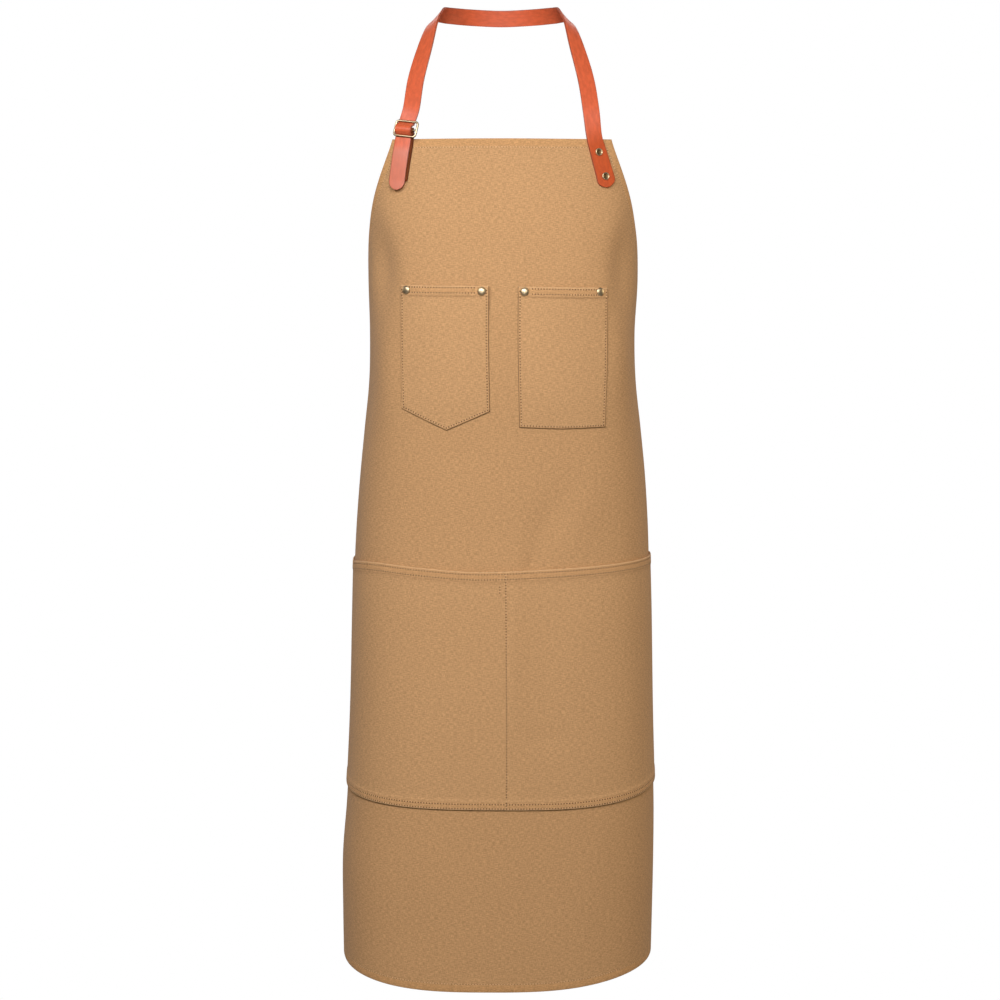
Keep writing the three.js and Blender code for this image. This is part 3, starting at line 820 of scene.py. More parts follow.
@dataclass(kw_only=True)
class Pocket:
    """What the pockets share: a doubled band, sewn rows, rolled edges and seams through the panel."""

    name: str
    panel: ApronPanel
    band: float = 10.2 * MM
    band_slope: float = 0.5 * MM
    band_ease: float = 1.3 * MM
    band_wall: float = 1.7 * MM
    groove: float = 0.14 * MM
    groove_width: float = 0.9 * MM
    roll: float = 0.35 * MM
    roll_reach: float = 1.2 * MM
    rounding: float = 0.35 * MM

    def in_band(self, from_edge: np.ndarray) -> np.ndarray:
        """How far each place is in a doubled band, by its distance from the band's edge."""
        return 1 - ramp(from_edge, self.band - self.band_slope, self.band + self.band_ease)

    def grooves(self, from_edge: np.ndarray, rows: tuple[float, ...]) -> np.ndarray:
        """Depth of the grooves that rows of stitches pull into the cloth."""
        return self.groove * sum(hill(from_edge - row, self.groove_width) for row in rows)

    def rolled(self, from_edge: np.ndarray) -> np.ndarray:
        """How far the cloth rolls down to its edge."""
        return self.roll * np.clip(1 - from_edge / self.roll_reach, 0, 1) ** 2

    def band_steps(self, rows: tuple[float, ...], pitch: float) -> np.ndarray:
        """Distances from a band's edge where the lattice has its rows, as a column."""
        return steps_between(0, self.roll_reach, *rows, self.band + self.band_ease, pitch=pitch)[:, None]

    def finish(self, pocket: bpy.types.Object, from_band: np.ndarray, cloth: bpy.types.Material) -> None:
        """Give a pocket its wall, doubled in its bands, and its canvas.

        Args:
            pocket: The pocket, one layer thick.
            from_band: Distance of each lattice point from the edge of a band.
            cloth: The pocket's canvas.
        """
        folded = from_band <= self.band
        thicken(pocket, self.band_wall, Wall.BEHIND, self.rounding, folded, CANVAS / self.band_wall)
        dress(pocket, Slot.POCKET, cloth)
        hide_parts(self.name)

    def sew_on(self, thread: Stitching, face: np.ndarray, along: np.ndarray, z: np.ndarray) -> None:
        """Sew a line on the pocket's front and through the panel behind it.

        Args:
            thread: The stitching that takes the line.
            face: The line's points on the front.
            along: Their distances along the cloth.
            z: Their heights.
        """
        thread.sew(face, self.panel.form.normals(along, z))
        self.panel.sew_through(thread, along, z, CANVAS, front=False)


@dataclass(kw_only=True)
class ChestPocket(Pocket):
    """Patch pocket on the bib, with a doubled mouth, a row round its sides and a rivet at each top corner.

    Its corners are distances from the centre line and heights in millimetres, from the inner side out.
    Places on it are shares of the way across, from the inner side, and down, from the mouth.
    """

    side: int
    mouth: tuple[Pair, ...]
    foot: tuple[Pair, ...]
    rivets: tuple[Pair, ...]
    flare: float
    flare_width: float = 3 * MM
    flare_drop: float = 10 * MM
    flare_length: float = 16 * MM
    # The painted shade line is thinner on the outer side, where its distance is eased.
    outer_shade_ease: float = 0.0
    outer_shade_share: float = 0.9
    band_rows: tuple[float, ...] = (2.1 * MM, 7.4 * MM)
    band_pitch: float = 0.8 * MM
    side_row: float = 2.4 * MM
    rivet_clear: float = 12 * MM
    belly: float = 1.3 * MM
    belly_reach: float = 26 * MM
    belly_share: float = 0.55
    pitch: float = 1.6 * MM
    samples: int = 200

    @staticmethod
    def on_edge(corners: tuple[Pair, ...], share: np.ndarray) -> np.ndarray:
        """Distances and heights between corners in a row, by the share of the way to the last."""
        stops = np.linspace(0, 1, len(corners))
        return np.stack([np.interp(share, stops, column) * MM for column in zip(*corners)])

    def place(self, across: np.ndarray, down: np.ndarray) -> np.ndarray:
        """Find places on the pocket.

        Args:
            across: Shares of the way across.
            down: Shares of the way down.

        Returns:
            Distances along the cloth and heights, stacked.
        """
        mouth, foot = self.on_edge(self.mouth, across), self.on_edge(self.foot, across)
        along, z = mouth + (foot - mouth) * down
        return np.stack([self.side * along, z])

    def height(self, across: np.ndarray) -> np.ndarray:
        """How far the foot is below the mouth."""
        return self.on_edge(self.mouth, across)[1] - self.on_edge(self.foot, across)[1]

    def width(self, down: np.ndarray) -> np.ndarray:
        """How far the outer side is from the inner one."""
        mouth, foot = (edge[-1][0] - edge[0][0] for edge in (self.mouth, self.foot))
        return (mouth + (foot - mouth) * down) * MM

    def foot_lean(self, across: np.ndarray) -> np.ndarray:
        """Run along the foot for each unit across."""
        runs = [(low[1] - high[1]) / (low[0] - high[0]) for high, low in zip(self.foot, self.foot[1:])]
        return np.hypot(1, np.where(across < 0.5, *runs))

    def from_edge(self, across: np.ndarray, down: np.ndarray) -> np.ndarray:
        """Distance of each place from the nearest sewn edge."""
        from_side = np.minimum(across, 1 - across) * self.width(down)
        return np.minimum(from_side, (1 - down) * self.height(across) / self.foot_lean(across))

    def rise(self, across: np.ndarray, down: np.ndarray) -> np.ndarray:
        """How far the front stands off the panel.

        Args:
            across: Shares of the way across.
            down: Shares of the way down.

        Returns:
            The rise at each place.
        """
        edge, below = self.from_edge(across, down), down * self.height(across)
        in_band = self.in_band(below)
        full = self.belly_share + (1 - self.belly_share) * in_band
        rise = GAP + CANVAS + (self.band_wall - CANVAS) * in_band
        rise = rise + self.belly * ramp(edge, self.side_row, self.belly_reach) * full
        rise = rise - self.grooves(edge, (self.side_row,)) * (1 - in_band)
        rise = rise - self.grooves(below, self.band_rows)
        rise = rise - self.rolled(np.minimum(edge, below))
        corner = hill(across * self.width(down), self.flare_width)
        return rise + self.flare * corner * hill(below - self.flare_drop, self.flare_length)

    def face(self, across: np.ndarray, down: np.ndarray) -> np.ndarray:
        """Places on the pocket's front."""
        return self.panel.form.lifted(*self.place(across, down), self.rise(across, down))

    def layout(self) -> tuple[np.ndarray, np.ndarray]:
        """Lay out the pocket's lattice.

        Returns:
            Shares across and down, by row and column.
        """
        width = self.width(np.array(0.5))
        near = np.array([0, self.roll_reach, self.side_row]) / width
        across = steps_between(*near, 0.5, *(1 - near[::-1]), pitch=self.pitch / width)
        if self.side < 0:
            across = across[::-1]
        height = self.height(across)
        band = self.band_steps(self.band_rows, self.band_pitch) / height
        share = steps_between(0, 1, pitch=self.pitch / (height.max() - self.band))[1:, None]
        down = np.concatenate([band, band[-1] + share * (1 - band[-1])])
        return np.broadcast_to(across, down.shape), down

    def seam_lines(self) -> list[tuple[np.ndarray, np.ndarray]]:
        """Draw the pocket's stitch lines.

        Returns:
            Shares across and down of each line.
        """
        share = np.linspace(0, 1, self.samples)
        inset = self.side_row / self.width(share)
        top = self.band_rows[0] / self.height(np.array(0.5))
        lines = []
        for across in (inset, 1 - inset):
            low = 1 - self.side_row / self.height(across)
            lines.append((across, top + (low - top) * share))
        for begin, end in ((inset[-1], 0.5), (0.5, 1 - inset[-1])):
            across = begin + (end - begin) * share
            lines.append((across, 1 - self.side_row * self.foot_lean(across) / self.height(across)))
        clear = self.rivet_clear / self.width(np.array(0.0))
        across = clear + (1 - 2 * clear) * share
        lines += [(across, row / self.height(across)) for row in self.band_rows]
        return lines

    def rivet_seats(self) -> list[Matrix]:
        """Seats of the corner rivets, on the mouth's band."""
        places = [(np.array(self.side * along * MM), np.array(z * MM)) for along, z in self.rivets]
        return [self.panel.form.seat_at(*place, DOWN, 2 * GAP + self.band_wall) for place in places]

    def flat(self) -> Pair:
        """Width and height of the flat cut, from edge to edge."""
        top, low = max(z for _, z in self.mouth), min(z for _, z in self.foot)
        return float(self.width(np.array(0.5))), (top - low) * MM

    def build(self, cloth: bpy.types.Material, thread: Stitching) -> bpy.types.Object:
        """Lay out the pocket, give it its wall and sew it on.

        Args:
            cloth: The pocket's canvas.
            thread: The stitching that takes its rows, on its front and behind the panel.

        Returns:
            The pocket.
        """
        across, down = self.layout()
        below = down * self.height(across)
        pattern = np.moveaxis(self.place(across, down), 0, -1)
        pocket = lattice(f"{self.name}_cloth", self.face(across, down), pattern)
        # Distance from the mouth, for the hem tint and for the edge painted lighter as wear and highlight.
        mark(pocket, "edge", below)
        # Distance from the sewn edges, for the painted shade line along them.
        shade_eased = self.outer_shade_ease * ramp(across, self.outer_shade_share, 1)
        mark(pocket, "seam", self.from_edge(across, down) + shade_eased)
        self.finish(pocket, below, cloth)
        for line in self.seam_lines():
            self.sew_on(thread, self.face(*line), *self.place(*line))
        return pocket


@dataclass(kw_only=True)
class SkirtPocket(Pocket):
    """Pocket across the whole skirt, with doubled bands at its mouth and foot and a seam down its middle.

    The places of its mouth and foot are distances along the cloth and heights, in millimetres.
    """

    name: str = "skirt_pocket"
    half: float = 343 * MM
    mouth_places: tuple[Pair, ...] = (
        (-345, -569), (-240, -571), (-195, -570.5), (-166, -567), (-131, -565.2), (-85, -567.5),
        (-30, -570.6), (20, -569.4), (80, -566.9), (130, -564.9), (180, -564.2), (240, -566), (345, -567),
    )
    foot_places: tuple[Pair, ...] = (
        (-345, -807), (-240, -809), (-180, -815.2), (-140, -818.4), (-90, -820.4), (0, -821),
        (60, -821), (105, -819.2), (150, -815), (190, -809.5), (250, -805), (345, -803),
    )
    top_rows: tuple[float, ...] = (2.6 * MM, 8 * MM)
    foot_rows: tuple[float, ...] = (2.0 * MM, 6.6 * MM)
    side_row: float = 7 * MM
    seam: float = 4 * MM
    seam_drift: float = 2.2 * MM
    seam_groove: float = 0.3 * MM
    seam_width: float = 3 * MM
    seam_puff: float = 0.5 * MM
    seam_puff_reach: float = 30 * MM
    seam_room: Pair = (7 * MM, 9 * MM)
    mouth_puff: float = 0.3 * MM
    tack: Pair = (3 * MM, 12 * MM)
    tack_inset: float = 6 * MM
    pitch: float = 4 * MM
    seam_pitch: float = 1.5 * MM
    band_pitch: float = 0.9 * MM
    samples: int = 400
    tack_samples: int = 20

    def mouth(self, along: np.ndarray) -> np.ndarray:
        """Height of the mouth's edge."""
        return through(*np.array(self.mouth_places).T * MM, along)

    def foot(self, along: np.ndarray) -> np.ndarray:
        """Height of the foot's edge."""
        return through(*np.array(self.foot_places).T * MM, along)

    @property
    def top(self) -> float:
        """Height of the mouth at the middle seam."""
        return float(self.mouth(np.array(self.seam)))

    @property
    def bottom(self) -> float:
        """Height of the foot at the middle seam."""
        return float(self.foot(np.array(self.seam)))

    def flat(self) -> Pair:
        """Width and height of the flat cut, along its middle seam."""
        return 2 * self.half, self.top - self.bottom

    def seam_at(self, z: np.ndarray) -> np.ndarray:
        """Distance along the cloth of the middle seam, which drifts a little on its way down."""
        return self.seam + self.seam_drift * (self.top - z) / (self.top - self.bottom)

    def rise(self, along: np.ndarray, z: np.ndarray) -> np.ndarray:
        """How far the front stands off the panel.

        Args:
            along: Distances along the cloth.
            z: Heights.

        Returns:
            The rise at each place.
        """
        below, above = self.mouth(along) - z, z - self.foot(along)
        band, from_seam = np.minimum(below, above), along - self.seam_at(z)
        in_band = self.in_band(band)
        openness = np.clip(above / (self.top - self.bottom), 0, 1)
        rise = GAP + CANVAS + (self.band_wall - CANVAS) * in_band
        rise = rise + self.mouth_puff * openness * np.sin(math.pi * along / self.panel.skirt_half) ** 2
        rise = rise - self.seam_groove * hill(from_seam, self.seam_width) * (1 - in_band)
        rise = rise - self.grooves(below, self.top_rows)
        rise = rise - self.grooves(above, self.foot_rows)
        rise = rise - self.rolled(band)
        return rise + self.seam_puff * hill(from_seam, self.seam_puff_reach) * openness

    def face(self, along: np.ndarray, z: np.ndarray) -> np.ndarray:
        """Places on the pocket's front."""
        return self.panel.form.lifted(along, z, self.rise(along, z))

    def layout(self) -> tuple[np.ndarray, np.ndarray]:
        """Lay out the pocket's lattice.

        Returns:
            Distances along the cloth and heights, by row and column.
        """
        left, right = self.seam - self.seam_room[0], self.seam + self.seam_room[1]
        along = np.concatenate([
            steps_between(-self.half, -self.half + self.side_row, left, pitch=self.pitch),
            steps_between(left, right, pitch=self.seam_pitch)[1:],
            steps_between(right, self.half - self.side_row, self.half, pitch=self.pitch)[1:],
        ])
        high = self.mouth(along) - self.band_steps(self.top_rows, self.band_pitch)
        low = self.foot(along) + self.band_steps(self.foot_rows, self.band_pitch)[::-1]
        share = steps_between(0, 1, pitch=self.pitch / (self.top - self.bottom))[1:-1, None]
        z = np.concatenate([high, high[-1] + share * (low[0] - high[-1]), low])
        return np.broadcast_to(along, z.shape), z

    def seam_lines(self) -> list[tuple[np.ndarray, np.ndarray]]:
        """Draw the pocket's stitch lines.

        Returns:
            Distances along the cloth and heights of each line.
        """
        share, side = np.linspace(0, 1, self.samples), self.half - self.side_row
        across = side * (2 * share - 1)
        lines = [(across, self.mouth(across) - row) for row in self.top_rows]
        lines += [(across, self.foot(across) + row) for row in self.foot_rows]
        for along in (-side, self.seam, side):
            high = float(self.mouth(np.array(along))) - self.top_rows[0]
            low = float(self.foot(np.array(along))) + self.foot_rows[0]
            down = high + (low - high) * share
            lines.append((self.seam_at(down) if along == self.seam else np.full(down.shape, along), down))
        tack = self.top - self.band - np.linspace(*self.tack, self.tack_samples)
        lines.append((np.full(tack.shape, self.seam - self.tack_inset), tack))
        return lines

    def build(self, cloth: bpy.types.Material, thread: Stitching) -> bpy.types.Object:
        """Lay out the pocket, give it its wall and sew it on.

        Args:
            cloth: The pocket's canvas.
            thread: The stitching that takes its rows, on its front and behind the panel.

        Returns:
            The pocket.
        """
        along, z = self.layout()
        above = z - self.foot(along)
        band = np.minimum(self.mouth(along) - z, above)
        pocket = lattice(f"{self.name}_cloth", self.face(along, z), np.stack([along, z], axis=-1))
        from_side = self.half - np.abs(along)
        # Distance from the folded edges, for the hem tint and for the edges painted lighter as wear and
        # highlight.
        mark(pocket, "edge", np.minimum(band, from_side))
        # Distance from the foot and the sides, for the painted shade line along them.
        mark(pocket, "seam", np.minimum(above, from_side))
        self.finish(pocket, band, cloth)
        for line, height in self.seam_lines():
            self.sew_on(thread, self.face(line, height), line, height)
        return pocket


# Brass


def polish(piece: bpy.types.Object, worn: np.ndarray) -> None:
    """Keep how far each point of a piece is painted bright, as wear and, on the buckle, also as a highlight,
    for its material to read.
    """
    layer = piece.data.attributes.new("polish", "FLOAT", "POINT")
    layer.data.foreach_set("value", worn.astype(np.float32))


@dataclass(frozen=True)
class RivetShank:
    """The post and the burr that every rivet has, below the stack of cloth and leather that it holds."""

    post: float = 1.5 * MM
    burr: float = 3.2 * MM
    burr_height: float = 0.9 * MM
    burr_edge: float = 0.2 * MM
    peen: float = 0.3 * MM
    peen_edge: float = 0.25 * MM
    peen_share: float = 0.7
    ease: float = 0.25 * MM

    def profile(self, stack: float) -> Profile:
        """Draw the burr and the post.

        Args:
            stack: Thickness of what the rivet holds.

        Returns:
            Radius and height of each point, from the burr's middle up to the head's seat.
        """
        top = -stack - self.ease
        low = top - self.burr_height
        return [
            (0, low - self.peen),
            (self.post * self.peen_share, low - self.peen_edge),
            (self.post, low),
            (self.burr - self.burr_edge, low),
            (self.burr, low + self.burr_edge),
            (self.burr, top),
            (self.post, top),
            (self.post, 0),
        ]


@dataclass(frozen=True)
class Rivets:
    """Domed rivets at the pocket corners, and dished ones on the strap."""

    shank: RivetShank = RivetShank()
    sides: int = 32
    arc_points: int = 9
    dome: float = 4.5 * MM
    dome_height: float = 2.2 * MM
    dome_rim: float = 0.45 * MM
    dome_share: float = 0.95
    rim_inset: float = 0.2 * MM
    rim_foot: float = 0.15 * MM
    rim_round: float = 0.1 * MM
    cap: float = 4.0 * MM
    cap_height: float = 1.25 * MM
    dish: float = 2.75 * MM
    dish_height: float = 0.45 * MM
    dish_slope: float = 0.25 * MM
    dish_margin: float = 0.1 * MM
    worn_head: float = 0.6
    worn_foot: float = 0.25

    def dome_profile(self) -> Profile:
        """Draw a domed head above a thin rim.

        Returns:
            Radius and height of each point, from the rim's foot to the dome's middle.
        """
        radius, height = self.dome * self.dome_share, self.dome_height - self.dome_rim
        turns = np.linspace(0, math.pi / 2, self.arc_points)
        dome = [(radius * math.cos(t), self.dome_rim + height * math.sin(t)) for t in turns]
        rim = [(self.dome - self.rim_inset, 0), (self.dome, self.rim_foot)]
        return [*rim, (self.dome, self.dome_rim - self.rim_round), *dome]

    def dish_profile(self) -> Profile:
        """Draw a rounded rim round a hollow with a flat floor.

        Returns:
            Radius and height of each point, from the rim's foot to the floor's middle.
        """
        middle, half = (self.cap + self.dish) / 2, (self.cap - self.dish) / 2
        shoulder = self.cap_height - half
        turns = np.linspace(0, math.pi, self.arc_points)
        rim = [(middle + half * math.cos(t), shoulder + half * math.sin(t)) for t in turns]
        return [(self.cap, 0), *rim, (self.dish - self.dish_slope, self.dish_height), (0, self.dish_height)]

    def build(
        self, name: str, seat: Matrix, stack: float, head: Profile, brass: bpy.types.Material
    ) -> bpy.types.Object:
        """Turn a rivet and set it in its seat.

        Args:
            name: The rivet's node.
            seat: The seat under the head.
            stack: Thickness of what the rivet holds.
            head: The head's profile.
            brass: Its material.

        Returns:
            The rivet.
        """
        rivet = turned(f"{name}_brass", [*self.shank.profile(stack), *head], self.sides)
        places = np.empty(len(rivet.data.vertices) * 3)
        rivet.data.vertices.foreach_get("co", places)
        x, y, z = places.reshape(-1, 3).T
        hollow = (y < self.dish_height + self.dish_margin) & (np.hypot(x, z) < self.dish) & (y > 0)
        worn = np.where(y > self.dome_rim, self.worn_head, self.worn_foot)
        polish(rivet, np.where(hollow, 0.0, worn))
        lay_in_place(rivet, seat)
        dress(rivet, Slot.BRASS, brass)
        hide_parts(name)
        return rivet


# Strap, buckle and tab


def smooth_path(points: np.ndarray, pitch: float) -> np.ndarray:
    """Follow a smooth curve through points, closely stepped.

    Args:
        points: The points, each with its coordinates first and any other values after them.
        pitch: Longest step between the points that are returned.

    Returns:
        Points and values along the curve, the first and last included.
    """
    shortest = 1e-6
    ends = np.concatenate([[2 * points[0] - points[1]], points, [2 * points[-1] - points[-2]]])
    rows = [points[:1]]
    for p0, p1, p2, p3 in zip(ends, ends[1:], ends[2:], ends[3:]):
        pairs = ((p0, p1), (p1, p2), (p2, p3))
        d0, d1, d2 = (max(np.linalg.norm(b[:3] - a[:3]), shortest) ** 0.5 for a, b in pairs)
        start = ((p1 - p0) / d0 - (p2 - p0) / (d0 + d1) + (p2 - p1) / d1) * d1
        end = ((p2 - p1) / d1 - (p3 - p1) / (d1 + d2) + (p3 - p2) / d2) * d1
        count = max(1, math.ceil(np.linalg.norm(p2[:3] - p1[:3]) / pitch))
        t = (np.arange(1, count + 1) / count)[:, None]
        rows.append(cubic(t, p1, p2 - p1, start, end))
    return np.concatenate(rows)


def strip(name: str, stations: np.ndarray, columns: int, crown: float) -> bpy.types.Object:
    """Lay out a strip of leather along stations.

    Args:
        name: The new piece's name.
        stations: Place, facing and half width of each station, seven numbers a row.
        columns: Points across the strip.
        crown: How far its middle stands above its edges.

    Returns:
        The strip, one layer thick, marked with each point's distance from its nearest edge.
    """
    place, facing, half = stations[:, :3], stations[:, 3:6], stations[:, 6]
    tangent = np.gradient(place, axis=0)
    tangent /= np.linalg.norm(tangent, axis=1, keepdims=True)
    up = facing - tangent * np.sum(facing * tangent, axis=1, keepdims=True)
    up /= np.linalg.norm(up, axis=1, keepdims=True)
    side = np.cross(up, tangent)
    share = np.linspace(-1, 1, columns)
    across = half[:, None] * share[None, :]
    rise = crown * (1 - share**2)
    places = place[:, None] + side[:, None] * across[..., None] + up[:, None] * rise[None, :, None]
    pattern = np.stack([across, np.broadcast_to(run_along(place)[:, None], across.shape)], axis=-1)
    piece = lattice(name, places, pattern)
    mark(piece, "edge", half[:, None] - np.abs(across))
    return piece


@dataclass
class SlideBuckle:
    """Small rectangular brass buckle with a centre bar, on the strap's free end.

    Places are along the free end's seat and off it.
    """

    seat: Matrix
    width: float = 26.5 * MM
    height: float = 18.4 * MM
    wire: float = 2.3 * MM
    wire_sides: int = 16
    corner: float = 3 * MM
    corner_rings: int = 9
    centre: float = -23.5 * MM
    tilt: float = 0.21
    shift: float = -1.5 * MM
    bar_shift: float = 0.9 * MM
    bar_wire: float = 2.1 * MM
    strap_thick: float = LEATHER
    tab_thick: float = 1.3 * MM
    weave_points: int = 7
    # The frame is painted bright on faces that look out from the cloth, partly as wear and partly as a
    # painted highlight, and darker elsewhere as painted shade.
    worn: float = 0.8
    highlight_facing: Pair = (0.4, 0.95)

    @property
    def tab_legs(self) -> float:
        """Thickness of the tab's doubled legs."""
        return 2 * self.tab_thick

    @property
    def strap_lift(self) -> float:
        """Lift of the strap's middle where it lies on the tab's legs."""
        return GAP + self.tab_legs + GAP + self.strap_thick / 2

    @property
    def lift(self) -> float:
        """Lift of the wire's middle."""
        return self.strap_lift + self.strap_thick / 2 + GAP + self.wire / 2

    @property
    def bar(self) -> float:
        """Place of the centre bar."""
        return self.centre + self.bar_shift

    @property
    def reach(self) -> float:
        """Distance of the head and foot bars from the buckle's centre."""
        return (self.height - self.wire) / 2

    @property
    def foot(self) -> float:
        """Place of the foot bar, about which the frame tilts."""
        return self.centre + self.reach

    @property
    def loop(self) -> float:
        """Outer radius of the tab's loop round the centre bar."""
        return self.wire / 2 + GAP + self.tab_thick

    def tilted(self, along: float, lift: float) -> Pair:
        """Carry a place from a frame that stands along the seat to the tilted one.

        Args:
            along: The place along the seat.
            lift: Its lift off the seat.

        Returns:
            The place and the lift on the tilted frame.
        """
        x, y = along - self.foot, lift - self.lift
        cosine, sine = math.cos(self.tilt), math.sin(self.tilt)
        return self.foot + x * cosine - y * sine, self.lift + x * sine + y * cosine

    def build(self, brass: bpy.types.Material) -> bpy.types.Object:
        """Pull the quarters of a ring apart into a rounded frame, and set the bar in it.

        Args:
            brass: The buckle's material.

        Returns:
            The buckle.
        """
        start_alone()
        rings = 4 * self.corner_rings
        bpy.ops.mesh.primitive_torus_add(
            major_segments=rings, minor_segments=self.wire_sides, major_radius=self.corner,
            minor_radius=self.wire / 2, rotation=(math.pi / 2, 0, 0),
        )
        frame = bpy.context.object
        frame.name = frame.data.name = "buckle_frame_brass"
        frame.data.transform(Matrix.Rotation(math.pi / rings, 4, "Z"))
        bpy.ops.object.transform_apply()
        pull = (self.reach - self.corner, (self.width - self.wire) / 2 - self.corner)
        for right, up in ((-1, -1), (-1, 1), (1, -1), (1, 1)):
            chosen = [v.index for v in frame.data.vertices if v.co.x * right > 0 and v.co.z * up > 0]
            move_points(frame, chosen, (right * pull[0], 0, up * pull[1]))
        bpy.ops.object.mode_set(mode="EDIT")
        bpy.ops.mesh.select_all(action="DESELECT")
        bpy.ops.mesh.primitive_cylinder_add(
            vertices=self.wire_sides, radius=self.bar_wire / 2, depth=self.width - self.wire,
            end_fill_type="TRIFAN", location=(self.bar_shift, 0, 0),
        )
        bpy.ops.object.mode_set(mode="OBJECT")
        bpy.ops.object.shade_smooth_by_angle(angle=BRASS_CREASE)
        # Faces looking out from the cloth are painted bright: wear and a painted highlight.
        normals = np.empty(len(frame.data.vertices) * 3)
        frame.data.vertices.foreach_get("normal", normals)
        polish(frame, self.worn * ramp(normals[1::3], *self.highlight_facing))
        turn = Matrix.Translation((self.foot, self.lift, self.shift)) @ Matrix.Rotation(self.tilt, 4, "Z")
        lay_in_place(frame, self.seat @ turn @ Matrix.Translation((-self.reach, 0, 0)))
        dress(frame, Slot.BRASS, brass)
        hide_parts("buckle_frame")
        return frame

    def weave(self) -> list[Pair]:
        """The strap's way under, over and under the buckle's bars, as places and lifts.

        Returns:
            The way from the head bar to the foot bar.
        """
        under = self.lift - self.strap_lift
        over = self.loop + GAP + self.strap_thick / 2
        bars = ((self.centre - self.reach, under, -1), (self.bar, over, 1), (self.foot, under, -1))
        slopes = [0.0]
        for (along, radius, way), (next_along, next_radius, _) in zip(bars, bars[1:]):
            slopes.append(-way * math.asin((radius + next_radius) / (next_along - along)))
        slopes.append(0.0)
        rows = []
        for (along, radius, way), begin, end in zip(bars, slopes, slopes[1:]):
            for slope in np.linspace(begin, end, self.weave_points):
                place = along - way * radius * math.sin(slope)
                rows.append(self.tilted(place, self.lift + way * radius * math.cos(slope)))
        return rows


@dataclass
class BuckleTab:
    """Leather tab: a strip folded round the buckle's centre bar, with both legs riveted to the bib."""

    buckle: SlideBuckle
    width: float = 16 * MM
    shift: float = -2 * MM
    end: float = 30 * MM
    leg_reach: float = 1 * MM
    under_turn: float = 1.32
    under_points: int = 8
    loop_from: float = -0.31
    loop_to: float = 3.61
    loop_points: int = 16
    pitch: float = 1.2 * MM
    columns: int = 9
    rounding: float = 0.25 * MM

    def path(self) -> np.ndarray:
        """Draw the strip's middle line.

        Returns:
            Places and lifts from the lower leg round the bar to the upper leg.
        """
        buckle, half = self.buckle, self.buckle.tab_thick / 2
        radius = buckle.loop - half
        loop = [
            buckle.tilted(buckle.bar + radius * math.cos(turn), buckle.lift + radius * math.sin(turn))
            for turn in np.linspace(self.loop_to, self.loop_from, self.loop_points)
        ]
        clear = buckle.wire / 2 + 2 * GAP + buckle.strap_thick + half
        under = [
            (buckle.foot - clear * math.sin(turn), buckle.lift - clear * math.cos(turn))
            for turn in np.linspace(self.under_turn - buckle.tilt, 0, self.under_points)
        ]
        lower = GAP + half
        upper = lower + buckle.tab_thick
        start = [(self.end, lower), (buckle.foot - self.leg_reach, lower)]
        return np.array([*start, *loop, *under, (self.end, upper)])

    def build(self, leather: bpy.types.Material, edge: bpy.types.Material) -> bpy.types.Object:
        """Lay the strip along its path and give it its wall.

        Args:
            leather: The tab's faces.
            edge: Its cut edges.

        Returns:
            The tab.
        """
        path = self.path()
        flat = np.concatenate([path, np.zeros((len(path), 1))], axis=1)
        flat = smooth_path(flat, self.pitch)
        run = np.gradient(flat, axis=0)
        run /= np.linalg.norm(run, axis=1, keepdims=True)
        out = np.stack([run[:, 1], -run[:, 0], run[:, 2]], axis=1)
        seat = np.array(self.buckle.seat)
        flat[:, 2] = self.shift
        place = flat @ seat[:3, :3].T + seat[:3, 3]
        facing = out @ seat[:3, :3].T
        half = np.full((len(place), 1), self.width / 2)
        stations = np.concatenate([place, facing, half], axis=1)
        tab = strip("buckle_tab_leather", stations, self.columns, 0)
        thicken(tab, self.buckle.tab_thick, Wall.MIDDLE, self.rounding, rim_slot=1)
        dress(tab, Slot.LEATHER, leather, edge)
        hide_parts("buckle_tab")
        return tab


